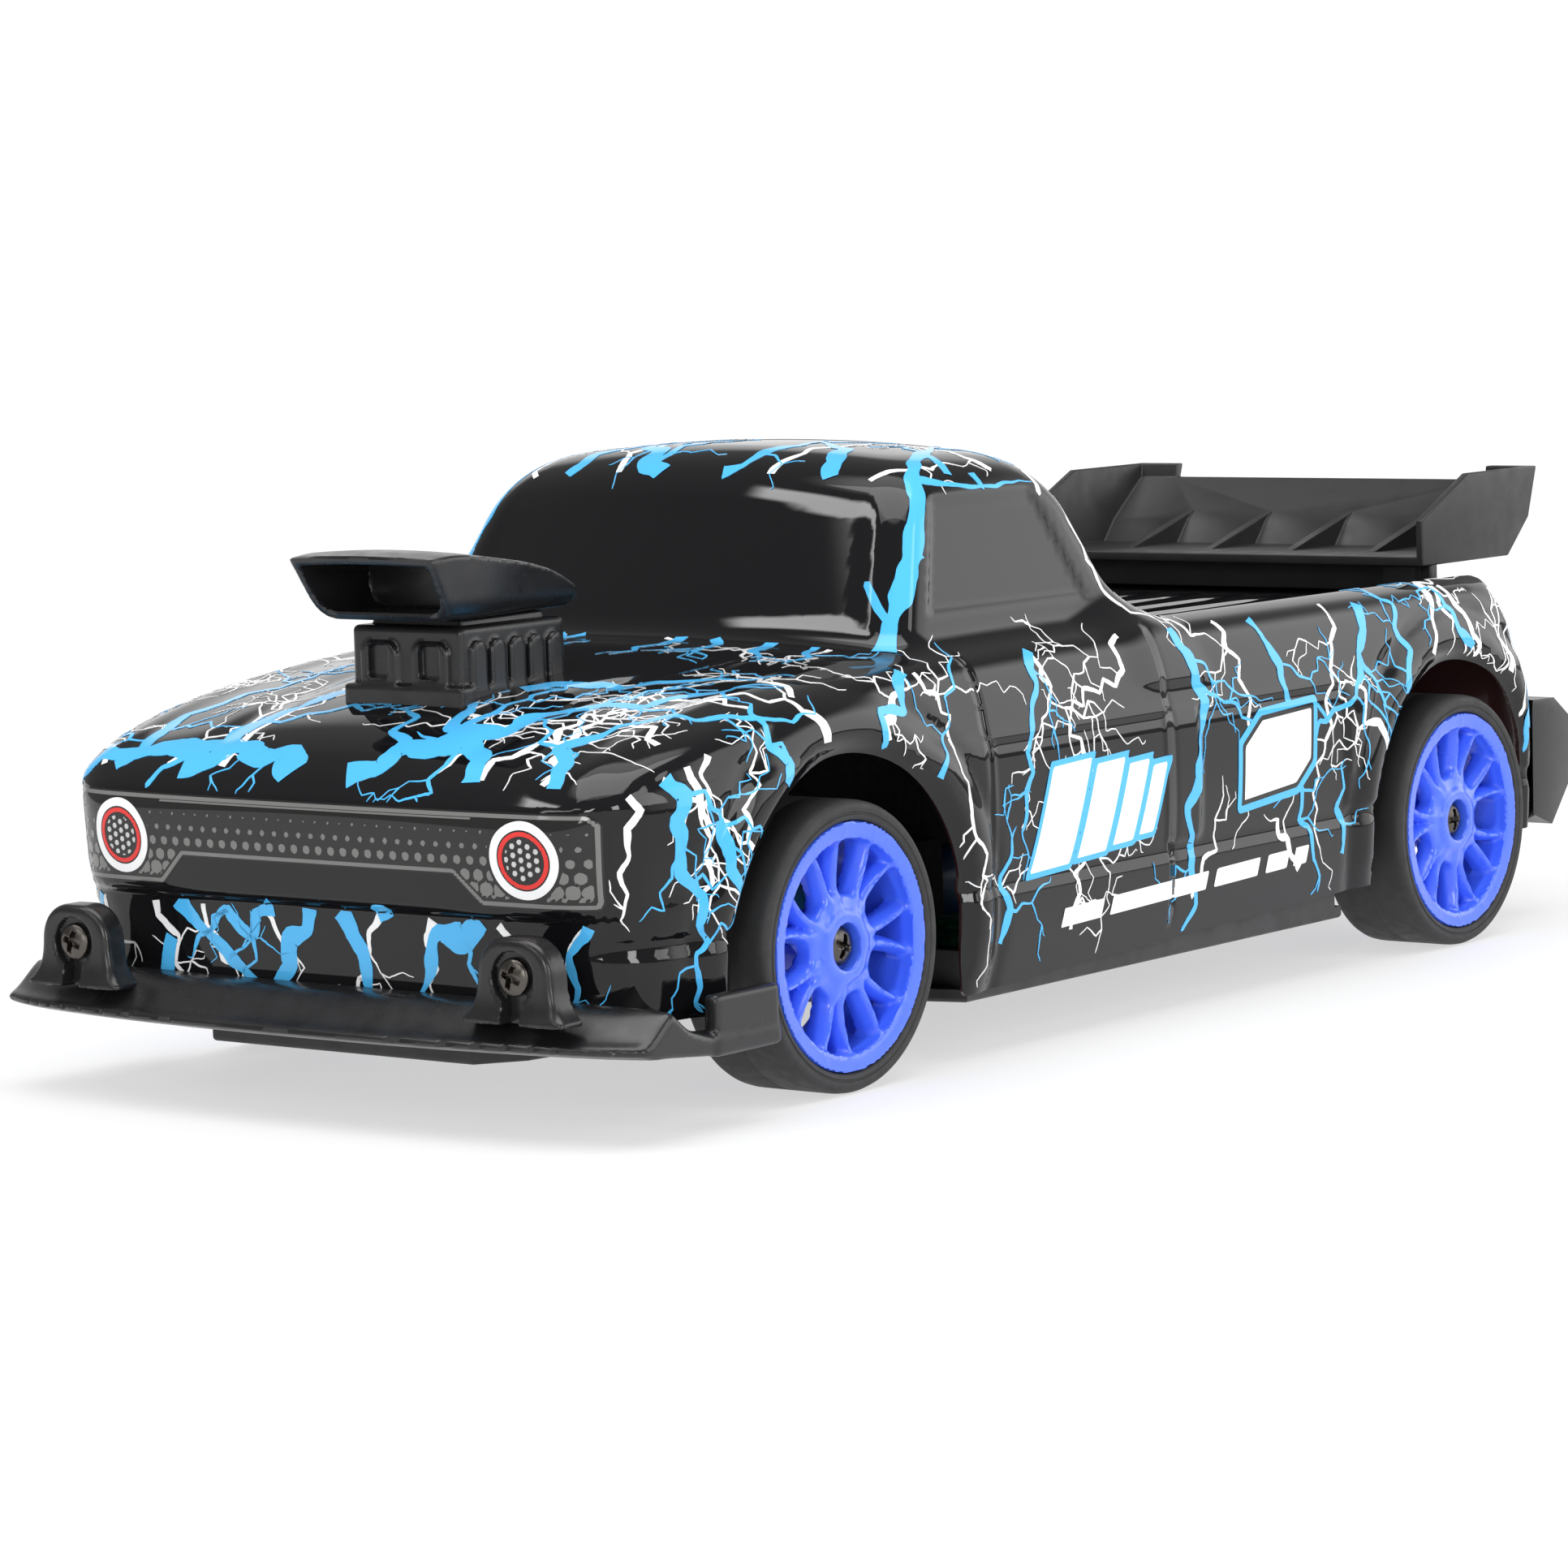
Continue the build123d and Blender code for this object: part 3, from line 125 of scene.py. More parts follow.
def lathe(profile, y, z, n=96, sx=1.0, closed=True):
    """Ring of (x, r) points about the X axis through (y, z). Returns vertices and faces."""
    t = np.arange(n) * 2 * math.pi / n
    v = np.array([[sx * x, y + r * math.cos(a), z + r * math.sin(a)] for a in t for x, r in profile])
    m = len(profile)
    f = []
    for i in range(n):
        j = (i + 1) % n
        for k in range(m if closed else m - 1):
            q = (i * m + k, i * m + (k + 1) % m, j * m + (k + 1) % m, j * m + k)
            f.append(q if sx > 0 else q[::-1])
    return v, f


def curve(pts):
    """Smooth monotone cubic through (x, y) points, held flat outside."""
    x = np.array([p[0] for p in pts], float)
    y = np.array([p[1] for p in pts], float)
    d = np.diff(y) / np.diff(x)
    m = np.empty(len(x))
    m[0], m[-1] = d[0], d[-1]
    for i in range(1, len(x) - 1):
        if d[i - 1] * d[i] <= 0:
            m[i] = 0
        else:
            w1, w2 = 2 * (x[i + 1] - x[i]) + (x[i] - x[i - 1]), (x[i + 1] - x[i]) + 2 * (x[i] - x[i - 1])
            m[i] = (w1 + w2) / (w1 / d[i - 1] + w2 / d[i])

    def f(t):
        t = np.clip(t, x[0], x[-1])
        i = np.clip(np.searchsorted(x, t, side="right") - 1, 0, len(x) - 2)
        h = x[i + 1] - x[i]
        s = (t - x[i]) / h
        return (y[i] * (1 + 2 * s) * (1 - s) ** 2 + m[i] * h * s * (1 - s) ** 2 + y[i + 1] * s * s * (3 - 2 * s)
                + m[i + 1] * h * s * s * (s - 1))
    return f


def smax(a, b, k):
    h = np.clip(0.5 + 0.5 * (a - b) / k, 0, 1)
    return b + (a - b) * h + k * h * (1 - h)


def smin(a, b, k):
    return -smax(-a, -b, k)


def step(t, a, b):
    s = np.clip((t - a) / (b - a), 0, 1)
    return s * s * (3 - 2 * s)


# ------------------------------------------------------------------ materials
def principled(name, color, rough, metallic=0.0, coat=0.0, coat_rough=0.05, noise=None, bump=None, ior=1.5, spec=0.5,
               rough_noise=None):
    """noise: (scale, second colour, low, high) mixes two colours; bump: (scale, distance in mm)."""
    m = bpy.data.materials.new(name)
    m.use_nodes = True
    nt = m.node_tree
    b = nt.nodes["Principled BSDF"]
    b.inputs["Base Color"].default_value = (*color, 1)
    b.inputs["Roughness"].default_value = rough
    b.inputs["Metallic"].default_value = metallic
    b.inputs["IOR"].default_value = ior
    b.inputs["Specular IOR Level"].default_value = spec
    b.inputs["Coat Weight"].default_value = coat
    b.inputs["Coat Roughness"].default_value = coat_rough
    b.inputs["Coat IOR"].default_value = 1.43
    tc = nt.nodes.new("ShaderNodeTexCoord")

    def tex(scale, detail=3.0):
        n = nt.nodes.new("ShaderNodeTexNoise")
        n.inputs["Scale"].default_value = scale
        n.inputs["Detail"].default_value = detail
        nt.links.new(tc.outputs["Object"], n.inputs["Vector"])
        return n

    if noise:
        n = tex(noise[0])
        r = nt.nodes.new("ShaderNodeMapRange")
        r.inputs["From Min"].default_value = noise[2]
        r.inputs["From Max"].default_value = noise[3]
        nt.links.new(n.outputs["Fac"], r.inputs["Value"])
        mix = nt.nodes.new("ShaderNodeMix")
        mix.data_type = "RGBA"
        mix.inputs[6].default_value = (*color, 1)
        mix.inputs[7].default_value = (*noise[1], 1)
        nt.links.new(r.outputs["Result"], mix.inputs[0])
        nt.links.new(mix.outputs[2], b.inputs["Base Color"])
    if rough_noise:
        n = tex(rough_noise[0])
        r = nt.nodes.new("ShaderNodeMapRange")
        r.inputs["From Min"].default_value = 0.3
        r.inputs["From Max"].default_value = 0.7
        r.inputs["To Min"].default_value = rough_noise[1]
        r.inputs["To Max"].default_value = rough_noise[2]
        nt.links.new(n.outputs["Fac"], r.inputs["Value"])
        nt.links.new(r.outputs["Result"], b.inputs["Roughness"])
    if bump:
        n = tex(bump[0], 4.0)
        bp = nt.nodes.new("ShaderNodeBump")
        bp.inputs["Strength"].default_value = 1.0
        bp.inputs["Distance"].default_value = bump[1] * 0.001
        nt.links.new(n.outputs["Fac"], bp.inputs["Height"])
        nt.links.new(bp.outputs["Normal"], b.inputs["Normal"])
    return m


PAINT = principled("shell paint", (0.006, 0.006, 0.007), 0.5, coat=1.0, coat_rough=0.03, bump=(60, 0.010), spec=0.0)
PRINT_BLUE = principled("print blue", (0.085, 0.50, 0.94), 0.5, coat=1.0, coat_rough=0.04, bump=(60, 0.010), spec=0.0)
PRINT_WHITE = principled("print white", (0.95, 0.955, 0.965), 0.5, coat=1.0, coat_rough=0.04, bump=(60, 0.010), spec=0.0)
PRINT_RED = principled("print red", (0.78, 0.035, 0.03), 0.5, coat=1.0, coat_rough=0.04, bump=(60, 0.010), spec=0.0)
PRINT_GREY = principled("print grey", (0.19, 0.19, 0.185), 0.5, coat=1.0, coat_rough=0.04, bump=(60, 0.010), spec=0.0)
PRINT_DARK = principled("print charcoal", (0.019, 0.019, 0.0185), 0.5, coat=1.0, coat_rough=0.04, bump=(60, 0.010), spec=0.0)
PRINT_SILVER = principled("print light grey", (0.60, 0.60, 0.60), 0.5, coat=1.0, coat_rough=0.04, bump=(60, 0.010), spec=0.0)
TRIM = principled("satin black plastic", (0.011, 0.011, 0.012), 0.28, rough_noise=(300, 0.24, 0.34), bump=(900, 0.0025))
WING = principled("wing plastic", (0.012, 0.012, 0.013), 0.40, rough_noise=(260, 0.36, 0.5), bump=(900, 0.012))
RIM = principled("rim blue", (0.060, 0.155, 0.94), 0.30, coat=0.6, coat_rough=0.10, bump=(260, 0.03), rough_noise=(200, 0.24, 0.36))
TYRE = principled("tyre compound", (0.022, 0.022, 0.023), 0.62, rough_noise=(500, 0.55, 0.72), bump=(1400, 0.02))
STEEL = principled("blackened steel", (0.11, 0.10, 0.09), 0.30, metallic=1.0, rough_noise=(700, 0.22, 0.40), bump=(900, 0.01))
ZINC = principled("zinc steel", (0.55, 0.55, 0.57), 0.28, metallic=1.0, rough_noise=(500, 0.22, 0.38))
TUB = principled("tub plastic", (0.020, 0.020, 0.022), 0.45, rough_noise=(250, 0.38, 0.55), bump=(700, 0.012))
ARM = principled("glass-filled nylon", (0.028, 0.028, 0.030), 0.50, rough_noise=(400, 0.42, 0.6), bump=(900, 0.015))
SPRING = principled("spring steel", (0.16, 0.16, 0.17), 0.26, metallic=1.0, rough_noise=(600, 0.18, 0.3))
DAMPER = principled("damper anodised red", (0.22, 0.015, 0.012), 0.30, metallic=0.6, rough_noise=(300, 0.24, 0.38))
GEAR = principled("natural nylon", (0.72, 0.70, 0.64), 0.40, noise=(220, (0.60, 0.58, 0.52), 0.4, 0.75))
BRASS = principled("pinion brass", (0.68, 0.47, 0.18), 0.28, metallic=1.0, rough_noise=(500, 0.22, 0.36))
MOTOR = principled("motor can", (0.48, 0.48, 0.50), 0.32, metallic=1.0, rough_noise=(120, 0.26, 0.42))
CELL = principled("cell wrap", (0.02, 0.16, 0.42), 0.28, coat=0.6, noise=(90, (0.02, 0.13, 0.35), 0.45, 0.6))
BOARD = principled("circuit board", (0.015, 0.14, 0.06), 0.35, noise=(420, (0.03, 0.22, 0.10), 0.48, 0.56))
KNOB = principled("switch knob", (0.60, 0.04, 0.03), 0.38, rough_noise=(300, 0.3, 0.45))
STRAP = principled("strap", (0.03, 0.03, 0.032), 0.6, noise=(700, (0.05, 0.05, 0.055), 0.4, 0.7))
BARE = principled("shell inside", (0.045, 0.010, 0.010), 0.35, coat=0.5, bump=(80, 0.02))

# ------------------------------------------------------------------ body shell as a distance-like field
W_Z = curve([(4, 54.6), (10, 55.4), (14, 56.1), (20, 56.9), (24.2, 57.1), (25.6, 56.7), (26.6, 56.6), (28.4, 57.3),
             (36, 57.6), (45, 57.4), (47.6, 57.0), (49.4, 56.3), (54, 55.3), (58, 53.9), (61, 52.2), (64, 49.5), (70, 44)])
W_Y = curve([(-145, 17.0), (-138, 10.8), (-133.5, 7.4), (-124, 3.9), (-112, 1.3), (-98, 0.0), (-60, 0.0), (60, 0.0),
             (106, 0.0), (116, 1.1), (123, 2.9), (129, 5.2), (134, 9.0)])
H_C = curve([(-142, 42.0), (-138.0, 45.6), (-135.6, 47.4), (-133.0, 50.0), (-129.0, 53.2), (-122, 56.3), (-110, 59.3),
             (-95, 61.4), (-80, 62.7), (-62, 63.9), (-45, 64.3), (10, 64.3), (110, 64.0), (130, 63.6)])
CROWN = curve([(-140, 2.2), (-130, 2.9), (-120, 3.4), (-108, 3.2), (-92, 2.6), (-64, 2.3), (-20, 1.6), (120, 1.2)])
TAIL = curve([(10, 131.2), (17, 131.2), (24.8, 131.0), (33.5, 129.7), (45.3, 127.0), (54.1, 124.0), (60, 121.0),
              (63.7, 118.8), (70, 115)])
Z_CUT = curve([(-145, 15.4), (-112, 15.4), (-104, 14.2), (-56, 10.2), (-2, 11.8), (53, 13.3), (67, 13.8), (120, 16.8),
               (135, 17.2)])
AF, AR = (YF + 2.0, 28.0), (YR - 0.3, 27.5)


def radius(y, z, yc):
    return np.hypot(y - yc, z - ZA)


def field(p):
    x, y, z = np.abs(p[:, 0]), p[:, 1], p[:, 2]
    w = W_Z(z) - W_Y(y)
    rf, rr = radius(y, z, AF[0]), radius(y, z, AR[0])
    # wheel-arch lips: a soft outward bead, rolled in at the very edge
    for r, ra in ((rf, AF[1]), (rr, AR[1])):
        w = w + 0.75 * np.exp(-((r - ra - 4.2) / 3.0) ** 2) - 1.5 * (1 - step(r, ra - 0.6, ra + 2.6))
        w = w - 0.35 * np.exp(-((r - ra - 9.0) / 1.6) ** 2)
    # pressed panels: door and bed side
    for y0, y1 in ((-45.5, 3.0), (12.0, 56.8)):
        m = step(y, y0 - 0.9, y0 + 0.9) * (1 - step(y, y1 - 0.9, y1 + 0.9)) * step(z, 26.4, 28.4) * (1 - step(z, 47.0, 49.0))
        w = w - 0.55 * m
    # shut lines round the door
    for yl in (-46.4, 3.8):
        w = w - 0.45 * np.exp(-((y - yl) / 0.42) ** 2) * step(z, 14, 16) * (1 - step(z, 60.5, 62.5))
    # flare swelling just ahead of the rear wheel, and the swept line on the front wing
    w = w + 0.5 * np.exp(-((y - 62.0) / 4.5) ** 2) * step(z, 14, 20) * (1 - step(z, 40, 50))
    w = w - 0.30 * np.exp(-((z - 33.5 - 0.18 * (y + 120)) / 1.9) ** 2) * (1 - step(y, -114, -110)) * step(y, -134, -130)
    side = x - w
    h = H_C(y) - CROWN(y) * (x / 50.0) ** 2.3
    # hood: shallow flutes either side of the blower, and a line along the crest of the wing
    h = h - 0.5 * np.exp(-((x - 24.0 - 0.05 * (y + 130)) / 3.2) ** 2) * step(y, -131, -124) * (1 - step(y, -74, -66))
    h = h + 0.5 * np.exp(-((x - 45.5) / 3.0) ** 2) * step(y, -134, -126) * (1 - step(y, -70, -60))
    top = z - h
    front = (-134.4 - 0.13 * (z - 31.0)) * step(z, 29.8, 31.2) + (-132.4 - 0.05 * (z - 15)) * (1 - step(z, 29.8, 31.2))
    front = front + 2.2 * (x / 50.0) ** 4 - 0.6 * step(z, 45.2, 46.4)
    nose = front - y
    tail = y - (TAIL(z) - 1.8 * (x / 50.0) ** 4)
    body = smax(smax(smax(side, nose, 9.0), top, 5.0), smax(tail, top, 4.0), 2.5)
    body = smax(body, smax(side, tail, 9.0), 0.5)
    # bed
    floor = 58.7 + 0.45 * (0.5 + 0.5 * np.cos(x * 2 * math.pi / 9.2)) ** 3 * step(y, 12, 15) * (1 - step(y, 100, 104))
    bed = np.maximum(np.maximum(x - 46.2, np.abs(y - 64.6) - 53.6), floor - z)
    body = smax(body, -bed, 1.6)
    # cab
    bow = 1 - (x / 45.0) ** 2
    ws = (-56.6 + (z - 62.2) * 0.575 - 3.6 * bow - y) * 0.867
    sd = (x - (47.7 - (z - 63.5) * 0.305)) * 0.956
    rear = (y - (7.6 - (z - 62.9) * 0.50 + 2.0 * bow)) * 0.894
    roof = z - (92.2 - 2.7 * (x / 38.0) ** 2 - 1.3 * ((y + 26.0) / 20.0) ** 2)
    # glazing set slightly below its frames
    pan = (1 - step(x, 37.0 - (z - 66) * 0.25, 41.2 - (z - 66) * 0.25)) * step(z, 64.4, 67.4) * (1 - step(z, 82.6, 86.2))
    ws = ws + 0.16 * pan
    lo, hi = -48.5 + (z - 66) * 0.50, -2.5 - (z - 66) * 0.42
    win = step(y, lo, lo + 2.6) * (1 - step(y, hi - 2.6, hi)) * step(z, 66.0, 68.4) * (1 - step(z, 82.4, 84.8))
    sd = sd + 0.5 * win
    bk = (1 - step(x, 28.0, 31.5)) * step(z, 67.5, 70.0) * (1 - step(z, 81.0, 83.6))
    rear = rear + 0.4 * bk
    cab = smax(smax(smax(ws, rear, 4.0), sd, 5.5), roof, 7.5)
    cab = smax(cab, 58.0 - z, 0.5)
    k = 3.0 + 5.0 * step(y, -12, 4)
    return smin(body, cab, k)


def gradient(p, e=0.05, fn=None):
    fn = fn or field
    g = np.empty_like(p)
    for i in range(3):
        d = np.zeros(3)
        d[i] = e
        g[:, i] = (fn(p + d) - fn(p - d)) / (2 * e)
    return g


def settle(p, rounds=4, level=0.0, fn=None, most=2.0):
    """Moves points onto the surface and returns them with their outward normals."""
    fn = fn or field
    for _ in range(rounds):
        g = gradient(p, fn=fn)
        n2 = np.maximum((g * g).sum(1), 0.05)
        p = p - g * np.clip((fn(p) - level) / n2, -most, most)[:, None]
    g = gradient(p, fn=fn)
    return p, g / np.maximum(np.linalg.norm(g, axis=1), 1e-6)[:, None]


def surface_nets(x0, x1, y0, y1, z0, z1, h, fn=None):
    fn = fn or field
    xs, ys, zs = np.arange(x0, x1, h), np.arange(y0, y1, h), np.arange(z0, z1, h)
    nx, ny, nz = len(xs), len(ys), len(zs)
    F = np.empty((nx, ny, nz))
    Y, Z = np.meshgrid(ys, zs, indexing="ij")
    for i, xv in enumerate(xs):
        F[i] = fn(np.column_stack([np.full(Y.size, xv), Y.ravel(), Z.ravel()])).reshape(ny, nz)
    S = F < 0
    c = [S[a:nx - 1 + a, b:ny - 1 + b, d:nz - 1 + d] for a in (0, 1) for b in (0, 1) for d in (0, 1)]
    n_in = sum(k.astype(np.int8) for k in c)
    cell = (n_in > 0) & (n_in < 8)
    ids = -np.ones(cell.shape, int)
    idx = np.argwhere(cell)
    ids[cell] = np.arange(len(idx))
    acc = np.zeros((len(idx), 3))
    cnt = np.zeros(len(idx))
    corner = [(a, b, d) for a in (0, 1) for b in (0, 1) for d in (0, 1)]
    for u in range(8):
        for w in range(u + 1, 8):
            A, B = corner[u], corner[w]
            if sum(abs(A[k] - B[k]) for k in range(3)) != 1:
                continue
            fa = F[idx[:, 0] + A[0], idx[:, 1] + A[1], idx[:, 2] + A[2]]
            fb = F[idx[:, 0] + B[0], idx[:, 1] + B[1], idx[:, 2] + B[2]]
            m = (fa < 0) != (fb < 0)
            t = np.where(m, fa / np.where(m, fa - fb, 1), 0)
            for k in range(3):
                acc[:, k] += np.where(m, A[k] + t * (B[k] - A[k]), 0)
            cnt += m
    v = np.array([x0, y0, z0]) + (idx + acc / cnt[:, None]) * h
    quads = []
    for ax in range(3):
        sl0 = [slice(1, -1)] * 3
        a = [slice(1, n - 1) for n in (nx, ny, nz)]
        a[ax] = slice(0, (nx, ny, nz)[ax] - 1)
        b = list(a)
        b[ax] = slice(1, (nx, ny, nz)[ax])
        s0, s1 = S[tuple(a)], S[tuple(b)]
        e = np.argwhere(s0 != s1)
        flip = s0[s0 != s1]
        off = np.array([0 if k == ax else 1 for k in range(3)])
        e = e + off
        o1, o2 = [k for k in range(3) if k != ax]
        d1, d2 = np.zeros(3, int), np.zeros(3, int)
        d1[o1], d2[o2] = 1, 1
        g = lambda q: ids[q[:, 0], q[:, 1], q[:, 2]]
        q = np.column_stack([g(e - d1 - d2), g(e - d2), g(e), g(e - d1)])
        ok = (q >= 0).all(1)
        q, fl = q[ok], flip[ok]
        if ax == 1:
            fl = ~fl
        q[~fl] = q[~fl][:, ::-1]
        quads.append(q)
    return v, np.vstack(quads)


def clip(v, tris, s):
    """Keeps the part of a triangle mesh where s > 0, cutting straight through triangles."""
    inside = s > 0
    n = inside[tris].sum(1)
    out = [tris[n == 3]]
    cache = {}
    new = []

    def cut(a, b):
        key = (a, b) if a < b else (b, a)
        if key not in cache:
            t = s[a] / (s[a] - s[b])
            t = min(max(t, 0.02), 0.98)
            cache[key] = len(v) + len(new)
            new.append(v[a] + (v[b] - v[a]) * t)
        return cache[key]

    extra = []
    for t in tris[(n == 1) | (n == 2)]:
        k = inside[t]
        if k.sum() == 1:
            i = int(np.argmax(k))
            a, b, c = t[i], t[(i + 1) % 3], t[(i + 2) % 3]
            extra.append((a, cut(a, b), cut(a, c)))
        else:
            i = int(np.argmin(k))
            a, b, c = t[i], t[(i + 1) % 3], t[(i + 2) % 3]
            ab, ac = cut(a, b), cut(a, c)
            extra.append((ab, b, c))
            extra.append((ab, c, ac))
    v = np.vstack([v, np.array(new).reshape(-1, 3)])
    tris = np.vstack(out + [np.array(extra, int).reshape(-1, 3)])
    used = np.unique(tris)
    remap = -np.ones(len(v), int)
    remap[used] = np.arange(len(used))
    return v[used], remap[tris]


def trim(p):
    """Positive where the moulded shell exists: above its lower edge and outside the wheel arches."""
    x, y, z = np.abs(p[:, 0]), p[:, 1], p[:, 2]
    s = z - Z_CUT(y)
    for yc, r in (AF, AR):
        d = np.where(z > ZA, radius(y, z, yc) - r, np.abs(y - yc) - r + 0.012 * (ZA - z))
        s = np.where(x > 36, np.minimum(s, d), s)
    return s


print("shell: meshing")
H = 1.15
V, Q = surface_nets(-2 * H, 62.0, -142.0, 138.0, 6.0, 95.0, H)
T = np.vstack([Q[:, [0, 1, 2]], Q[:, [0, 2, 3]]])
V, T = clip(V, T, V[:, 0] - 1e-6)
on_mid = np.abs(V[:, 0]) < 1e-3
V[on_mid, 0] = 0.0
P0, N0 = settle(V, 4)
P0[on_mid, 0] = 0.0
V = P0
V, T = clip(V, T, trim(V))
mid = np.abs(V[:, 0]) < 1e-3
V[mid, 0] = 0.0
keep_new, _ = settle(V, 2)
cutv = trim(V) < 0.02
V = np.where((mid | cutv)[:, None], V, keep_new)
# mirror
mir = np.arange(len(V))
other = np.where(mid, mir, len(V) + np.cumsum(~mid) - 1)
V2 = V[~mid] * [-1, 1, 1]
VV = np.vstack([V, V2])
TT = np.vstack([T, other[T][:, ::-1]])
# orientation from the field
g = gradient(VV)
NN = g / np.linalg.norm(g, axis=1)[:, None]
a, b, c = VV[TT[:, 0]], VV[TT[:, 1]], VV[TT[:, 2]]
fn = np.cross(b - a, c - a)
bad = (fn * NN[TT].mean(1)).sum(1) < 0
TT[bad] = TT[bad][:, ::-1]
area = np.linalg.norm(fn, axis=1) / 2
TT = TT[area > 1e-6]
print("shell:", len(VV), "points", len(TT), "triangles")


def thick_sheet(name, v, t, n, thick, mat, body, lift=0.0, inner_mat=None, replaces=()):
    """Closed sheet: outer layer v + lift, inner layer thick below, rim joined along the open edges."""
    m = len(v)
    allv = np.vstack([v + n * lift, v + n * (lift - thick)])
    e = {}
    for tri in t:
        for i in range(3):
            k = (tri[i], tri[(i + 1) % 3])
            e[k] = 1
    rim = [(k[0], k[1]) for k in e if (k[1], k[0]) not in e]
    faces = t.tolist() + (t[:, ::-1] + m).tolist() + [[b, a, a + m, b + m] for a, b in rim]
    me = bpy.data.meshes.new(name)
    me.from_pydata(to_m(allv).tolist(), [], faces)
    me.update()
    o = bpy.data.objects.new(name, me)
    bpy.context.scene.collection.objects.link(o)
    me.materials.append(mat)
    if inner_mat:
        me.materials.append(inner_mat)
        idx = np.zeros(len(faces), np.int32)
        idx[len(t):] = 1
        me.polygons.foreach_set("material_index", idx)
    me.polygons.foreach_set("use_smooth", np.ones(len(faces), bool))
    loops = np.empty(len(me.loops), np.int32)
    me.loops.foreach_get("vertex_index", loops)
    ln = np.where((loops < m)[:, None], n[loops % m], -n[loops % m])
    k = 6 * len(t)
    nv = np.empty(len(faces) * 3)
    me.polygons.foreach_get("normal", nv)
    nv = nv.reshape(-1, 3)
    ln[k:] = np.repeat(nv[2 * len(t):], 4, axis=0)
    me.normals_split_custom_set(ln.tolist())
    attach(o, body)
    if replaces:
        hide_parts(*replaces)
    return o


thick_sheet("body_shell_skin", VV, TT, NN, 0.85, PAINT, "chassis", inner_mat=BARE, replaces=("body_shell",))

# ------------------------------------------------------------------ moulded parts drawn as fields
def solid(name, fn, lo, hi, h, mat, body, replaces=(), extra=None, angle=None, rounds=3):
    """Meshes fn < 0 inside a box, with optional further closed (verts, faces) shells in the same piece."""
    v, q = surface_nets(lo[0], hi[0], lo[1], hi[1], lo[2], hi[2], h, fn)
    v, n = settle(v, rounds, fn=fn, most=h * 0.5)
    fc = q.tolist()
    a_, b_, c_ = v[q[:, 0]], v[q[:, 1]], v[q[:, 2]]
    if ((np.cross(b_ - a_, c_ - a_) * n[q[:, 0]]).sum(1) > 0).mean() < 0.5:
        fc = q[:, ::-1].tolist()
    if extra:
        m = len(v)
        v = np.vstack([v, extra[0]])
        fc = fc + [[m + k for k in f] for f in extra[1]]
    return make(name, v, fc, mat, body, smooth=True, angle=angle, replaces=replaces)


def rbox(u, v, cu, cv, hu, hv, r):
    """Rounded rectangle distance in two dimensions."""
    a_, b_ = np.abs(u - cu) - (hu - r), np.abs(v - cv) - (hv - r)
    return np.minimum(np.maximum(a_, b_), 0) + np.hypot(np.maximum(a_, 0), np.maximum(b_, 0)) - r


def rbox3(p, c, h_, r):
    q = np.abs(p - np.array(c)) - (np.array(h_) - r)
    return np.minimum(q.max(1), 0) + np.linalg.norm(np.maximum(q, 0), axis=1) - r


def wheel_fn(phase):
    def fn(p):
        x, r = p[:, 0], np.hypot(p[:, 1], p[:, 2])
        th = np.arctan2(p[:, 2], p[:, 1])
        lip_x = x + 0.30 + 0.16 * np.clip(18.1 - r, 0, 3)
        ring = np.maximum(rbox(x, r, -1.7, 17.1, 1.75, 1.22, 0.35), lip_x)
        ring = smin(ring, rbox(x, r, -4.6, 16.5, 2.2, 0.70, 0.3), 0.5)
        period = 2 * math.pi / 7
        loc = (th - math.radians(phase) + period / 2) % period - period / 2
        u = np.clip((r - 7.5) / 9.1, -0.2, 1.1)
        mid_ = np.radians(6.6 + 6.2 * u - 1.1 * np.sin(np.clip(u, 0, 1) * math.pi))
        d = np.abs(np.abs(loc) - mid_) * r
        w = 1.12 - 0.42 * np.clip(u, 0, 1)
        top_ = -1.95 + 1.15 * np.clip(u, 0, 1.05) ** 1.3
        spoke = smax(d - w + 0.42 * np.clip(x - top_ + 2.2, 0, 3) - 0.2, x - top_, 0.9)
        spoke = np.maximum(spoke, np.maximum(-5.3 - x, r - 17.2))
        spoke = np.maximum(spoke, 5.0 - r)
        web = smax(r - 7.6, np.maximum(x + 1.85 + 0.05 * np.clip(r - 5, 0, 4) ** 2, -5.3 - x), 0.9)
        hub = smax(r - 5.1, np.maximum(x + 1.15, -10.4 - x), 0.7)
        f = smin(smin(web, hub, 1.3), spoke, 1.5)
        f = smin(f, ring, 0.9)
        well = smax(r - 3.45, -3.7 - x, 0.3)
        return smax(f, -well, 0.4)
    return fn


# one wheel is meshed about its own axis, then placed four times
def field_mesh(fn, lo, hi, h, rounds=3):
    v, q = surface_nets(lo[0], hi[0], lo[1], hi[1], lo[2], hi[2], h, fn)
    v, n = settle(v, rounds, fn=fn, most=h * 0.5)
    a_, b_, c_ = v[q[:, 0]], v[q[:, 1]], v[q[:, 2]]
    if ((np.cross(b_ - a_, c_ - a_) * n[q[:, 0]]).sum(1) > 0).mean() < 0.5:
        q = q[:, ::-1]
    return v, q


print("wheels")
HW = 0.46
RIM_V, RIM_Q = field_mesh(wheel_fn(3.0), (-11.0, -19.0, -19.0), (0.6, 19.0, 19.0), HW)
BARREL = [(-16.0 + 0.6, 15.7), (-15.4, 18.4), (-14.9, 18.6), (-13.9, 18.6), (-13.3, 17.3), (-6.3, 17.2), (-5.9, 17.05), (-5.9, 15.8)]
BAR_V, BAR_F = lathe(BARREL, 0.0, 0.0, 112)


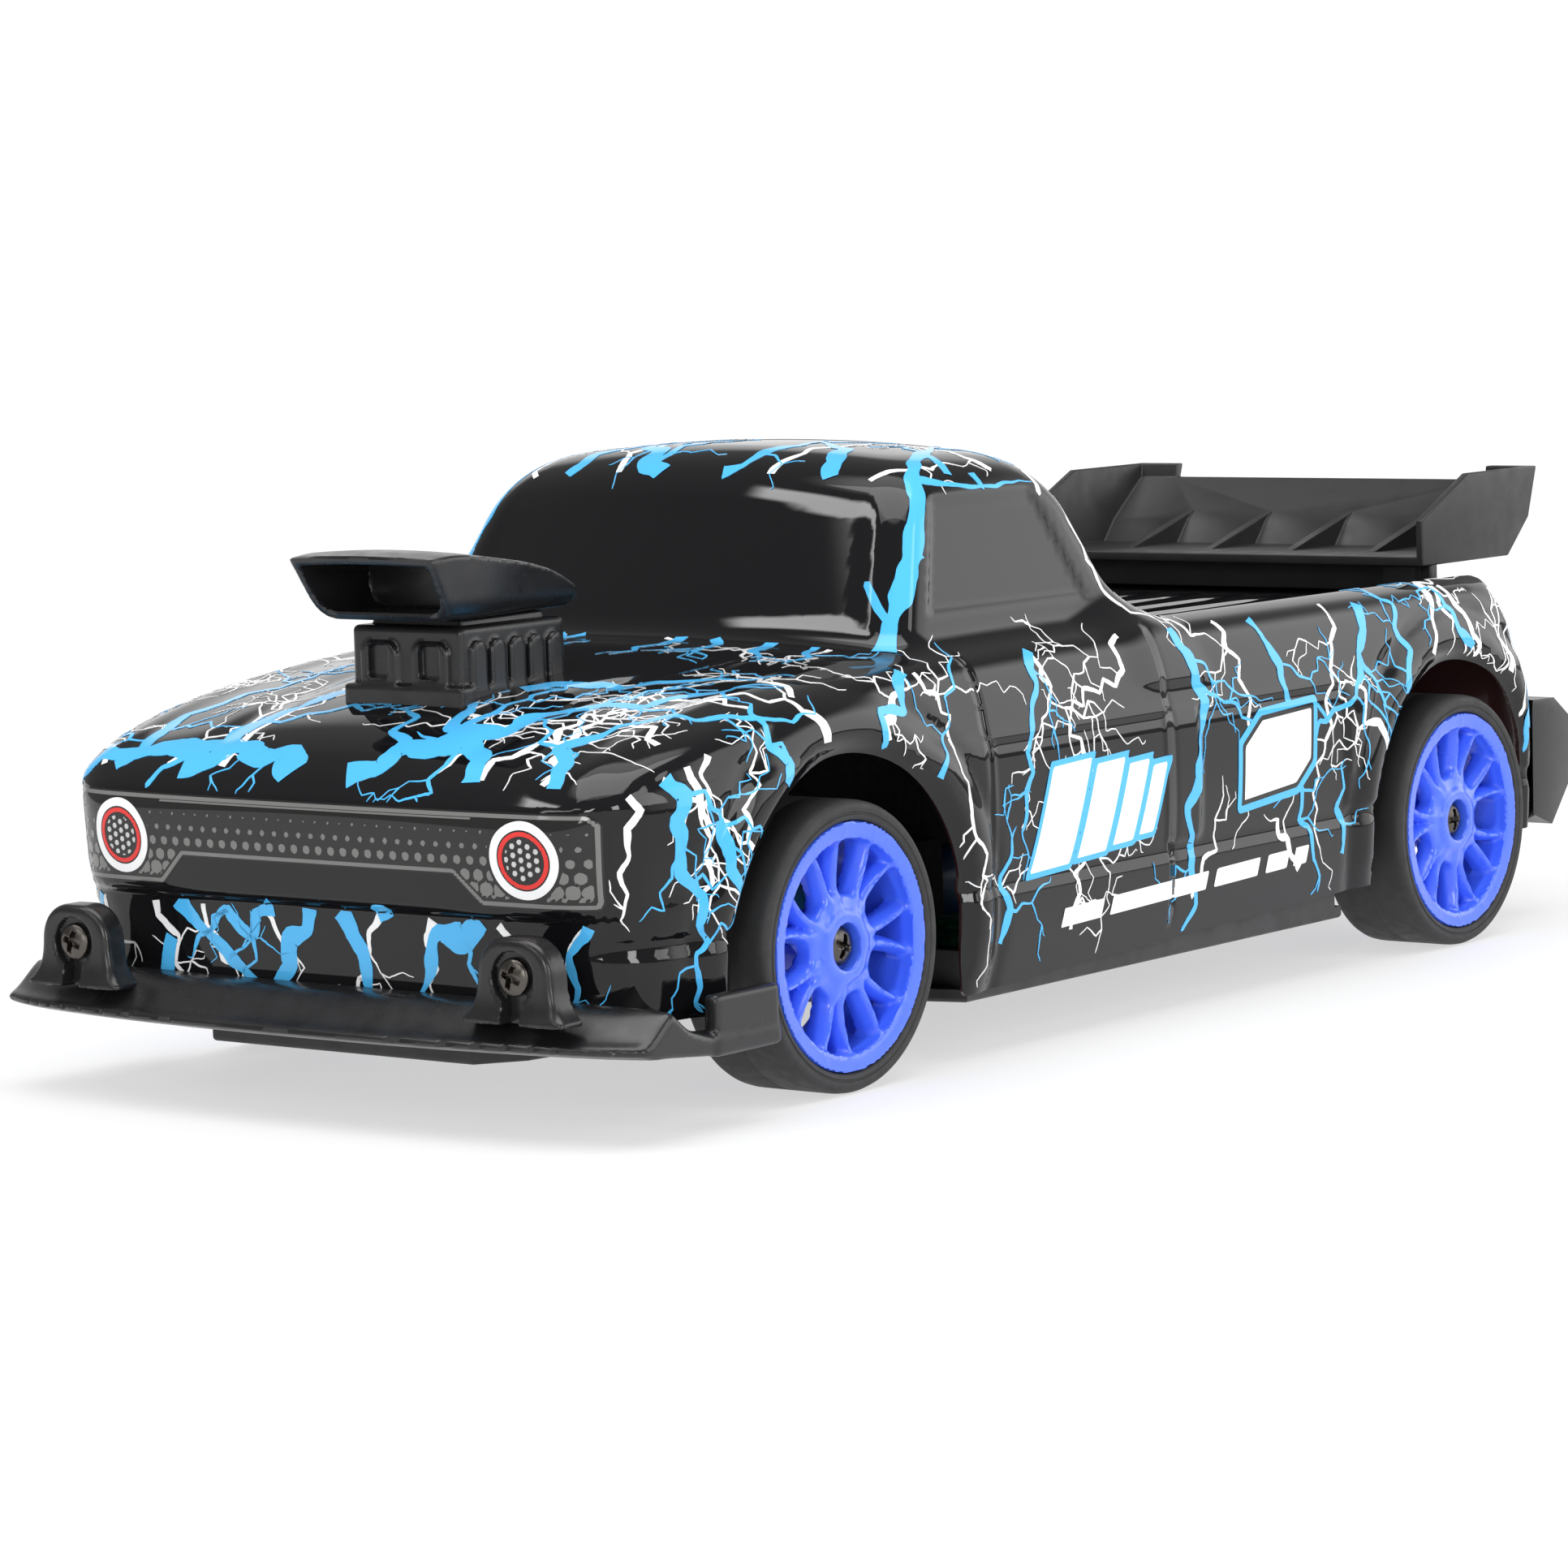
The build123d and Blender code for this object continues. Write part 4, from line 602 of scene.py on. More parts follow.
def tyre_profile():
    side = [(-0.62, 18.47), (-0.30, 18.75), (-0.16, 19.05), (-0.14, 19.3), (-0.30, 19.42), (-0.30, 19.62), (-0.14, 19.76),
            (-0.08, 20.3), (-0.14, 20.75), (-0.42, 21.10), (-0.95, 21.36), (-1.8, 21.48), (-2.6, 21.5)]
    tread = []
    for x0 in (-8.0,):
        tread += [(x0 + 0.14, 21.5), (x0, 21.44), (x0 - 0.14, 21.5)]
    back_ = [(-16.0 - x, r) for x, r in side[::-1]]
    return side + tread + back_ + [(-13.2, 17.4), (-3.6, 17.4), (-2.9, 18.47)]


TY_V, TY_F = lathe(tyre_profile(), 0.0, 0.0, 144)


def screw_fn(R, H_, cross=True):
    """Pan head standing from x = 0 up to x = H_, with a cross recess."""
    def fn(p):
        x, y, z = p[:, 0], p[:, 1], p[:, 2]
        r = np.hypot(y, z)
        dome = x - (H_ - 0.5 * H_ * (r / R) ** 2.6)
        f = smax(smax(r - R, dome, 0.35), -x, 0.05)
        if cross:
            t = np.clip((H_ - x) / H_, 0, 1)
            w = 0.17 * R * (1 - 0.25 * t)
            l_ = 0.66 * R * (1 - 0.35 * t)
            ca, sa = math.cos(0.35), math.sin(0.35)
            yy, zz = y * ca - z * sa, y * sa + z * ca
            c1 = np.maximum(np.abs(yy) - l_, np.abs(zz) - w)
            c2 = np.maximum(np.abs(zz) - l_, np.abs(yy) - w)
            f = smax(f, -np.maximum(smin(c1, c2, 0.15), H_ * 0.28 - x), 0.12)
        return f
    return fn


SC_V, SC_Q = field_mesh(screw_fn(2.95, 2.0), (-0.6, -3.3, -3.3), (2.5, 3.3, 3.3), 0.17)
SP_V, SP_Q = field_mesh(screw_fn(2.75, 1.7), (-0.6, -3.1, -3.1), (2.2, 3.1, 3.1), 0.17)


def turn_x(v, deg):
    t = math.radians(deg)
    c, s_ = math.cos(t), math.sin(t)
    w = v.copy()
    w[:, 1], w[:, 2] = v[:, 1] * c - v[:, 2] * s_, v[:, 1] * s_ + v[:, 2] * c
    return w


for end, yc in (("front", YF), ("rear", YR)):
    for side_, sg in (("left", 1), ("right", -1)):
        body_ = f"front_{side_}_wheel" if end == "front" else "rear_wheels"
        spin = {"front": 0.0, "rear": 21.0}[end]

        def put(v, dx=0.0):
            w = turn_x(v, spin)
            w[:, 0] = (w[:, 0] + X_FACE + dx) * sg
            w[:, 1] = w[:, 1] + yc
            w[:, 2] = w[:, 2] + ZA
            return w

        def faces_of(q):
            q = np.asarray(q)
            return (q if sg > 0 else q[:, ::-1]).tolist()

        m = len(RIM_V)
        vv = np.vstack([put(RIM_V), put(BAR_V)])
        ff = faces_of(RIM_Q) + [[k + m for k in f] for f in faces_of(BAR_F)]
        make(f"{end}_{side_}_rim_moulding", vv, ff, RIM, body_, smooth=True, angle=50, replaces=(f"{end}_{side_}_rim",))
        make(f"{end}_{side_}_tyre_moulding", put(TY_V), faces_of(TY_F), TYRE, body_, smooth=True, angle=42,
             replaces=(f"{end}_{side_}_tyre",))
        rep = (f"front_{side_}_wheel_screw",) if end == "front" else (("rear_wheel_screws",) if side_ == "left" else ())
        make(f"{end}_{side_}_hub_screw", put(SC_V, -3.62), faces_of(SC_Q), STEEL, body_, smooth=True, angle=40, replaces=rep)

# splitter screws: heads face forwards
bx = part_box("splitter_screws")
y_head = bx[0][1] * 1000 + MID
for side_, sg in (("left", 1), ("right", -1)):
    v = np.column_stack([sg * 42.1 + SP_V[:, 1], y_head + 1.7 - SP_V[:, 0], 23.6 + SP_V[:, 2]])
    make(f"{side_}_splitter_screw", v, SP_Q.tolist(), STEEL, "chassis", smooth=True, angle=40,
         replaces=("splitter_screws",) if side_ == "left" else ())


def tab_fn(p):
    x, y, z = p[:, 0], p[:, 1], p[:, 2]
    flare = 2.6 * np.exp(-np.maximum(z - 17.6, 0) / 1.9)
    out = np.hypot(np.maximum(np.abs(x) - 1.4, 0), np.maximum(z - 23.9, 0)) - 5.2 - flare
    front = -142.3 - 0.9 * np.exp(-np.maximum(z - 17.6, 0) / 1.6) + 0.05 * np.abs(x) - y
    f = smax(out, front, 1.3)
    f = smax(f, y + 138.0, 0.3)
    f = smax(f, 16.9 - z, 0.3)
    cup = np.maximum(np.hypot(x, z - 23.6) - 3.7, y + 141.05)
    slot = np.maximum(np.hypot(x, np.maximum(z - 20.6, 0)) - 1.7, y + 140.4)
    f = smax(f, -cup, 0.35)
    return smax(f, -slot, 0.3)


TAB_V, TAB_Q = field_mesh(tab_fn, (-10.0, -144.6, 16.0), (10.0, -137.0, 30.2), 0.42)
for side_, sg in (("left", 1), ("right", -1)):
    make(f"{side_}_splitter_boss", TAB_V + np.array([42.1 * sg, 0.0, 0.0]), TAB_Q.tolist(), TRIM, "chassis", smooth=True, angle=50)


# a dark block hidden under the cab, standing in for shade: it stops the view through the front arch to the white
# background
bm = bmesh.new()
block(bm, -13.6, 13.6, -4.0, 15.0, 25.0, 42.0)
bm_finish(bm, "dark_shade_block", STRAP, "chassis", bevel=0.8)


def blower_fn(p):
    x, y, z = p[:, 0], p[:, 1], p[:, 2]
    ax = np.abs(x)
    f = rbox3(p, (0, -101.5, 61.0), (10.6, 12.0, 8.2), 0.9)
    f = smin(f, rbox3(p, (0, -101.7, 56.0), (11.5, 12.9, 4.6), 0.6), 0.3)
    for yi in (-110.3, -105.9, -101.5, -97.1, -92.7):
        d = np.hypot(y - yi, np.maximum(z - 65.4, 0)) - 1.75
        f = smin(f, smax(smax(d, ax - 11.6, 0.6), 58 - z, 0.5), 0.35)
    for xi in (4.9,):
        d = np.hypot(np.maximum(np.abs(ax - xi) - 1.6, 0), np.maximum(z - 65.0, 0)) - 1.9
        f = smin(f, smax(smax(d, -114.4 - y, 0.6), 57 - z, 0.5), 0.35)
        d2 = np.hypot(np.maximum(np.abs(ax - xi) - 1.0, 0), np.maximum(np.abs(z - 64.0) - 1.6, 0)) - 0.9
        f = smax(f, -np.maximum(d2, y + 113.4), 0.3)
    f = smin(f, rbox3(p, (0, -101.5, 69.2), (8.5, 9.6, 1.0), 0.4), 0.4)
    groove = np.maximum(np.abs(z - 67.9) - 0.25, -(ax - 10.9))
    return smax(f, -groove, 0.25)


solid("blower_casting", blower_fn, (-12.6, -115.6, 51.0), (12.6, -87.6, 71.2), 0.42, TRIM, "chassis", replaces=("blower_block",),
      angle=45)


def soften(node, name, mat, width, segments=3, angle=28, body="chassis"):
    """The part's own shape with its moulded edges rounded."""
    bm = bmesh.new()
    bm.from_mesh(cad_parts[node].data)
    bmesh.ops.remove_doubles(bm, verts=bm.verts, dist=2e-6)
    bmesh.ops.dissolve_limit(bm, angle_limit=math.radians(1.0), verts=bm.verts, edges=bm.edges)
    es = [e for e in bm.edges if len(e.link_faces) == 2 and e.calc_face_angle(0) > math.radians(angle)]
    bmesh.ops.bevel(bm, geom=es, offset=width * 0.001, segments=segments, profile=0.5, affect="EDGES", clamp_overlap=True)
    bmesh.ops.triangulate(bm, faces=[f for f in bm.faces if len(f.verts) > 4])
    me = bpy.data.meshes.new(name)
    bm.to_mesh(me)
    bm.free()
    o = bpy.data.objects.new(name, me)
    bpy.context.scene.collection.objects.link(o)
    me.materials.clear()
    me.materials.append(mat)
    me.polygons.foreach_set("material_index", np.zeros(len(me.polygons), dtype=np.int32))
    me.polygons.foreach_set("use_smooth", np.ones(len(me.polygons), bool))
    me.set_sharp_from_angle(angle=math.radians(35))
    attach(o, body)
    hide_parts(node)
    return o


SC_TOP = curve([(-126, 79.7), (-123.4, 80.1), (-118, 80.6), (-106, 79.3), (-94, 77.0), (-88, 74.6), (-85, 72.6)])


def scoop_fn(p):
    x, y, z = np.abs(p[:, 0]), p[:, 1], p[:, 2]
    side = (x - (13.9 - 2.4 * step(y, -113, -86) - 0.10 * (80.2 - z))) * 0.99
    belly = 70.3 - z
    top = z - SC_TOP(y) + 0.5 * (x / 13.0) ** 2
    lip = (-123.6 + (80.0 - z) * 0.60 - y) * 0.857
    f = smax(side, belly, 3.6)
    f = smax(f, top, 0.6)
    f = smax(f, smax(lip, y + 86.2 - 0.25 * (z - 72), 0.4), 0.5)
    inner = smax(smax(side + 1.2, belly + 1.2, 3.2), top + 1.4, 0.8)
    return smax(f, -np.maximum(inner, y + 107.5), 0.35)


solid("scoop_moulding", scoop_fn, (-15.0, -126.0, 69.4), (15.0, -85.6, 81.8), 0.50, TRIM, "chassis", replaces=("air_scoop",),
      angle=45)
soften("rear_wing", "wing_moulding", WING, 0.30)
SP_F = curve([(0, -145.2), (14, -145.0), (26, -144.4), (46, -142.0), (55, -140.0), (61.4, -137.2), (64, -136)])
SP_R = curve([(0, -131.5), (31, -131.5), (35, -119), (42, -114), (50, -112), (55, -108.6), (60, -106), (64, -106)])
SP_T = curve([(-148, 18.9), (-132, 18.9), (-126, 15.4), (-118, 13.6), (-105, 13.4)])
SP_B = curve([(-148, 12.4), (-134, 12.2), (-118, 11.0), (-105, 11.0)])


def splitter_fn(p):
    x, y, z = np.abs(p[:, 0]), p[:, 1], p[:, 2]
    yf = SP_F(x)
    t = np.clip((y - yf) / 8.5, 0, 1)
    crown = 14.3 + 4.6 * t * t * (3 - 2 * t)
    top = z - np.minimum(crown, SP_T(y))
    f = smax(yf - y, x - 61.3, 1.2)
    f = smax(f, top, 1.3)
    f = smax(f, SP_B(y) - z + 0.8 * (1 - step(y - yf, 0, 4)), 1.0)
    f = smax(f, y - SP_R(x), 0.6)
    f = smin(f, rbox3(p * np.array([0, 1, 1]) + np.column_stack([x, 0 * x, 0 * x]), (60.1, -113.4, 15.3), (1.2, 7.4, 4.2), 0.6), 1.0)
    return smax(f, 0.12 - field(p), 0.2)


solid("splitter_moulding", splitter_fn, (-63.0, -147.0, 10.0), (63.0, -104.6, 20.8), 0.62, TRIM, "chassis",
      replaces=("front_splitter",), angle=50)
soften("rear_bumper", "bumper_moulding", TRIM, 0.45)

# materials on the parts that keep their own shape
LOOK = {"axle_gear": GEAR, "motor_pinion": BRASS, "rear_axle": ZINC, "drive_motor": MOTOR, "battery_pack": CELL,
        "battery_strap": STRAP, "control_board": BOARD, "power_switch": KNOB, "switch_housing": ARM, "chassis_tub": TUB,
        "body_posts": TUB, "body_post_screws": STEEL, "frame_screws": STEEL, "front_bulkhead": TUB, "rear_shock_tower": TUB,
        "pivot_brackets": TUB, "gearbox_housing": ARM, "gearbox_cover": ARM, "servo_horn": ARM, "steering_link": ARM,
        "steering_servo": TUB, "shock_cylinders": DAMPER}
for n_, o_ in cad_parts.items():
    look = LOOK.get(n_)
    if look is None:
        if n_.endswith("spring"):
            look = SPRING
        elif n_.endswith("shock_rod"):
            look = ZINC
        elif "arm" in n_ or "knuckle" in n_ or "c_hub" in n_:
            look = ARM
        elif "screw" in n_:
            look = STEEL
        else:
            look = TRIM
    o_.data.materials.clear()
    o_.data.materials.append(look)
    o_.data.polygons.foreach_set("material_index", np.zeros(len(o_.data.polygons), dtype=np.int32))

# each coil spring is copied to a new object with its placement baked into the mesh, and the original spring is hidden
for side_ in ("left", "right"):
    for end in ("front", "rear"):
        name_ = f"{end}_{side_}_spring"
        src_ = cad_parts[name_]
        o_ = bpy.data.objects.new(f"{end}_{side_}_coil", src_.data.copy())
        bpy.context.scene.collection.objects.link(o_)
        o_.matrix_world = src_.matrix_world.copy()
        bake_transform(o_)
        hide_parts(name_)

# ------------------------------------------------------------------ printed films on the shell
LO_WIN = lambda z: -48.5 + (z - 66) * 0.50
HI_WIN = lambda z: -2.5 - (z - 66) * 0.42


def free_area(p, n):
    """Positive where a bolt may run: clear of the glazing, the grille print, the bed and the shell's edges."""
    x, y, z = np.abs(p[:, 0]), p[:, 1], p[:, 2]
    s = trim(p) - 0.7
    glass_f = np.minimum.reduce([z - 65.2, 84.6 - z, 39.8 - (z - 66) * 0.25 - x, -y - 30.0])
    glass_s = np.minimum.reduce([z - 66.2, 84.2 - z, y - LO_WIN(z), HI_WIN(z) - y, x - 30.0])
    glass_r = np.minimum.reduce([z - 67.5, 83.5 - z, 35.4 - x, y + 12.0])
    grille = np.minimum.reduce([z - 30.6, 46.0 - z, 50.0 - x, -y - 126.0])
    bed = np.minimum.reduce([46.0 - x, y - 12.0, 118.0 - y])
    for g_ in (glass_f, glass_s, glass_r, grille, bed):
        s = np.minimum(s, -g_)
    return s


def rotate_about(v, n, ang):
    c, s_ = np.cos(ang)[:, None], np.sin(ang)[:, None]
    return v * c + np.cross(n, v) * s_ + n * (n * v).sum(1)[:, None] * (1 - c)


def grow(seeds, rng, ds=0.55):
    """seeds: list of (start, heading, width, length, kink, branching). All bolts advance together over the surface.
    Returns polylines with normals and widths."""
    done = []
    level = 0
    cur = [tuple(s_) for s_ in seeds]
    while cur and level < 5:
        n_ = len(cur)
        pos = np.array([c_[0] for c_ in cur], float)
        main = np.array([c_[1] for c_ in cur], float)
        w0 = np.array([c_[2] for c_ in cur], float)
        length = np.array([c_[3] for c_ in cur], float)
        kink = np.array([c_[4] for c_ in cur], float)
        bran = np.array([c_[5] for c_ in cur], float)
        pos, nor = settle(pos, 8)
        alive = free_area(pos, nor) > 0
        trail = [[] for _ in cur]
        scale = 0.7 + 0.34 * np.clip(w0, 0, 6)
        goal = rng.normal(0, 1, n_) * kink * 0.6
        dev = goal.copy()
        left = rng.uniform(1.5, 4.0, n_) * scale
        gone = np.zeros(n_)
        swell = np.zeros(n_)
        fine = np.zeros(n_)
        nxt = []
        while alive.any():
            dev = dev + (goal - dev) * np.clip(0.9 / scale, 0.3, 0.9)
            fine = 0.80 * fine + rng.normal(0, 1, n_) * kink * 0.17
            t = rotate_about(main, nor, dev + fine)
            t = t - nor * (t * nor).sum(1)[:, None]
            t = t / np.maximum(np.linalg.norm(t, axis=1), 1e-6)[:, None]
            frac = np.clip(gone / length, 0, 1)
            swell = 0.88 * swell + 0.24 * rng.normal(0, 1, n_)
            wid = w0 * (1 - frac) ** 0.8 * np.clip(1 + 0.60 * swell, 0.4, 1.9)
            for i in np.flatnonzero(alive):
                trail[i].append((pos[i].copy(), nor[i].copy(), t[i].copy(), max(wid[i], 0.16)))
            pos = np.where(alive[:, None], pos + t * ds, pos)
            pos2, nor2 = settle(pos, 2)
            pos = np.where(alive[:, None], pos2, pos)
            nor = np.where(alive[:, None], nor2, nor)
            gone += ds * alive
            left -= ds
            turn = (left <= 0) & alive
            if turn.any():
                k_ = int(turn.sum())
                old = goal[turn]
                new = np.abs(rng.normal(0.75, 0.45, k_)) * kink[turn] * -np.sign(old + 1e-9)
                goal[turn] = new
                left[turn] = rng.uniform(1.3, 4.2, k_) * scale[turn]
                main[turn] = rotate_about(main[turn], nor[turn], rng.normal(0, 0.16, k_))
                for i in np.flatnonzero(turn):
                    if rng.random() < bran[i] * 0.62 and gone[i] < length[i] * 0.9 and level < 3:
                        sg = rng.choice([-1, 1])
                        h_ = rotate_about(main[i:i + 1], nor[i:i + 1], np.array([sg * rng.uniform(0.6, 1.35)]))[0]
                        rest_ = length[i] - gone[i]
                        nxt.append((pos[i].copy(), h_, max(0.34, w0[i] * (1 - gone[i] / length[i]) ** 0.5 * rng.uniform(0.22, 0.5)),
                                    min(rest_ * rng.uniform(0.2, 0.6) + 5, 30), kink[i] * 1.05, bran[i] * 0.8))
            alive = alive & (gone < length) & (free_area(pos, nor) > 0)
        done += [t_ for t_ in trail if len(t_) > 3]
        cur = nxt
        level += 1
    return done


def ribbons(name, trails, mat, lift, thick=0.07, min_w=0.16, wmax=9.0):
    """Closed printed strokes that follow the shell."""
    pts, meta = [], []
    for tr in trails:
        p = np.array([q_[0] for q_ in tr])
        n = np.array([q_[1] for q_ in tr])
        w = np.clip(np.array([q_[3] for q_ in tr]), min_w, wmax)
        w = np.convolve(np.pad(w, 2, mode="edge"), [0.1, 0.2, 0.4, 0.2, 0.1], mode="valid")
        w[-1] = 0.08
        t = np.gradient(p, axis=0)
        t = t / np.maximum(np.linalg.norm(t, axis=1), 1e-6)[:, None]
        b = np.cross(n, t)
        cols = 2 if w.max() < 1.3 else (3 if w.max() < 2.6 else 5)
        for k in range(cols):
            u = -0.5 + k / (cols - 1)
            pts.append(p + b * (w * u)[:, None])
        meta.append((len(p), cols))
    if not pts:
        return None
    allp, alln = settle(np.vstack(pts), 3)
    off = 0
    verts, faces, norms = [], [], []
    for m, cols in meta:
        top = allp[off:off + m * cols].reshape(cols, m, 3)
        nn = alln[off:off + m * cols].reshape(cols, m, 3)
        off += m * cols
        st = len(verts)
        hi = top + nn * lift
        lo_ = top + nn * (lift - thick)
        arr = np.stack([hi, lo_])            # layer, col, station
        verts.extend(arr.reshape(-1, 3))
        norms.extend(np.stack([nn, nn]).reshape(-1, 3))
        ix = lambda l, c_, i: st + (l * cols + c_) * m + i
        for i in range(m - 1):
            for c_ in range(cols - 1):
                faces.append((ix(0, c_, i), ix(0, c_, i + 1), ix(0, c_ + 1, i + 1), ix(0, c_ + 1, i))[::-1])
                faces.append((ix(1, c_, i), ix(1, c_, i + 1), ix(1, c_ + 1, i + 1), ix(1, c_ + 1, i)))
            for c_, s_ in ((0, 1), (cols - 1, -1)):
                q_ = (ix(0, c_, i), ix(1, c_, i), ix(1, c_, i + 1), ix(0, c_, i + 1))
                faces.append(q_ if s_ < 0 else q_[::-1])
        for i, s_ in ((0, 1), (m - 1, -1)):
            q_ = [ix(0, c_, i) for c_ in range(cols)] + [ix(1, c_, i) for c_ in range(cols - 1, -1, -1)]
            faces.append(tuple(q_) if s_ > 0 else tuple(q_[::-1]))
    me = bpy.data.meshes.new(name)
    me.from_pydata(to_m(np.array(verts)).tolist(), [], [list(map(int, f[::-1])) for f in faces])
    me.update()
    me.polygons.foreach_set("use_smooth", np.ones(len(me.polygons), bool))
    me.materials.append(mat)
    me.normals_split_custom_set_from_vertices(np.array(norms).tolist())
    o = bpy.data.objects.new(name, me)
    bpy.context.scene.collection.objects.link(o)
    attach(o, "chassis")
    print(name, "faces", len(me.polygons))
    return o


def poly_sdf(pts):
    """Signed distance inside a polygon (positive inside)."""
    pts = np.array(pts, float)

    def f(u, v):
        d = np.full(u.shape, 1e9)
        inside = np.zeros(u.shape, bool)
        for i in range(len(pts)):
            a_, b_ = pts[i], pts[(i + 1) % len(pts)]
            e = b_ - a_
            wx, wy = u - a_[0], v - a_[1]
            h_ = np.clip((wx * e[0] + wy * e[1]) / (e @ e), 0, 1)
            d = np.minimum(d, np.hypot(wx - e[0] * h_, wy - e[1] * h_))
            c1 = (a_[1] <= v) & (b_[1] > v) & (e[0] * wy - e[1] * wx > 0)
            c2 = (a_[1] > v) & (b_[1] <= v) & (e[0] * wy - e[1] * wx < 0)
            inside ^= (c1 | c2)
        return np.where(inside, d, -d)
    return f


def decal(name, fn, plane, box_, mat, lift, pitch=0.7, thick=0.07):
    """Flat print pressed on to the shell. plane: left, right, front or top; fn(u, v) > 0 is printed."""
    u0, u1, v0, v1 = box_
    us, vs = np.arange(u0, u1 + pitch, pitch), np.arange(v0, v1 + pitch, pitch)
    U, W = np.meshgrid(us, vs, indexing="ij")
    nu, nv_ = U.shape
    uu, ww = U.ravel(), W.ravel()
    I = np.arange(nu * nv_).reshape(nu, nv_)
    q = np.column_stack([I[:-1, :-1].ravel(), I[1:, :-1].ravel(), I[1:, 1:].ravel(), I[:-1, 1:].ravel()])
    tri = np.vstack([q[:, [0, 1, 2]], q[:, [0, 2, 3]]])
    flat = np.column_stack([uu, ww, np.zeros(len(uu))])
    val = fn(uu, ww)
    near = (val[tri] > 0).any(1)
    flat, tri = clip(flat, tri[near], val)
    u, v = flat[:, 0], flat[:, 1]
    if plane in ("left", "right"):
        sg = 1 if plane == "left" else -1
        p = np.column_stack([np.full(len(u), 58.5 * sg), u, v])
        ax = 0
    elif plane == "front":
        p = np.column_stack([u, np.full(len(u), -138.0), v])
        ax = 1
    else:
        p = np.column_stack([u, v, np.full(len(u), 60.5)])
        ax = 2
    for _ in range(10):
        g_ = gradient(p)[:, ax]
        g_ = np.where(np.abs(g_) < 0.2, 0.2 * np.sign(g_ + 1e-9), g_)
        p[:, ax] -= np.clip(field(p) / g_, -1.5, 1.5)
    gg = gradient(p)
    n = gg / np.linalg.norm(gg, axis=1)[:, None]
    a_, b_, c_ = p[tri[:, 0]], p[tri[:, 1]], p[tri[:, 2]]
    fl = (np.cross(b_ - a_, c_ - a_) * n[tri[:, 0]]).sum(1) < 0
    tri[fl] = tri[fl][:, ::-1]
    return thick_sheet(name, p, tri, n, thick, mat, "chassis", lift=lift)


# grille print: charcoal panel, light outline, a cell mesh that thins out upwards, and plain round lamps
G_OUT = [(-49.0, 31.9), (-30.6, 32.0), (-25.8, 36.4), (25.8, 36.4), (30.6, 32.0), (49.0, 31.9), (49.6, 33.0), (49.9, 44.2),
         (48.2, 45.6), (-48.2, 45.6), (-49.9, 44.2), (-49.6, 33.0)]
g_sdf = poly_sdf(G_OUT)
LAMP = (38.6, 38.9)


def lamp_r(u, v):
    return np.hypot(np.abs(u) - LAMP[0], (v - LAMP[1]) * 1.02)


def hexes(u, v):
    pitch = 2.35
    rowh = pitch * math.sqrt(3) / 2
    best = np.full(u.shape, 1e9)
    for k in (-1, 0, 1):
        row = np.round(v / rowh) + k
        cy = row * rowh
        cx = (np.round(u / pitch - 0.5 * (row % 2)) + 0.5 * (row % 2)) * pitch
        dx, dy = np.abs(u - cx), np.abs(v - cy)
        best = np.minimum(best, np.maximum(dx, dx * 0.5 + dy * 0.866))
    size = np.clip(1.02 - (v - 34.5) * 0.095, 0.22, 1.02)
    return size - best


decal("grille_panel", g_sdf, "front", (-51, 51, 31, 46.5), PRINT_DARK, 0.06, 0.9)
decal("grille_outline", lambda u, v: 0.30 - np.abs(g_sdf(u, v) - 0.55), "front", (-51, 51, 31, 46.5), PRINT_GREY, 0.10, 0.45)
decal("grille_cells", lambda u, v: np.minimum.reduce([hexes(u, v), g_sdf(u, v) - 1.2, 43.4 - v, lamp_r(u, v) - 6.2]), "front",
      (-51, 51, 31, 44), PRINT_GREY, 0.10, 0.42)
decal("lamp_rings", lambda u, v: np.minimum(5.7 - lamp_r(u, v), lamp_r(u, v) - 4.45), "front", (-46, 46, 32, 45.4),
      PRINT_WHITE, 0.12, 0.5)
decal("lamp_pinstripes", lambda u, v: np.minimum(4.2 - lamp_r(u, v), lamp_r(u, v) - 3.55), "front", (-46, 46, 33, 45),
      PRINT_RED, 0.12, 0.45)


def lens(u, v):
    s_ = 3.1 - lamp_r(u, v)
    dots = 0.42 - np.hypot((u % 1.3) - 0.65, ((v + 0.65 * np.floor(u / 1.3)) % 1.3) - 0.65)
    return np.minimum(s_, dots)


decal("lamp_lenses", lens, "front", (-43, 43, 35, 43), PRINT_SILVER, 0.12, 0.33)
decal("grille_bars", lambda u, v: np.minimum.reduce([0.22 - np.abs(((v - 44.6) + 0.0 * u)), 30.0 - np.abs(u)]), "front",
      (-31, 31, 44, 45.4), PRINT_GREY, 0.11, 0.45)

# side print: a plain slanted flash, a blank start panel and a broken pinstripe, in place of any lettering
def slant(u, v, u0, u1, v0, v1, k=0.32):
    uu = u - (v - v0) * k
    return np.minimum.reduce([uu - u0, u1 - uu, v - v0, v1 - v])


FLASH = [(-36.0, -25.4), (-23.4, -15.6), (-13.8, -8.2), (-6.6, -2.6)]


def flash(u, v, grow_):
    zb = 26.8 + 0.045 * (u + 36)
    uu = u - (v - zb) * 0.42
    s_ = np.full(u.shape, -1e9)
    for i, (a_, b_) in enumerate(FLASH):
        s_ = np.maximum(s_, np.minimum.reduce([uu - a_ + grow_, b_ - uu + grow_, v - zb - 0.5 * i + grow_,
                                               zb + 15.5 - 1.2 * i - v + grow_]))
    return s_


PANEL = [(24.0, 31.0), (41.0, 32.4), (46.2, 36.4), (47.0, 46.0), (30.6, 45.2), (24.6, 41.0)]
panel_sdf = poly_sdf(PANEL)


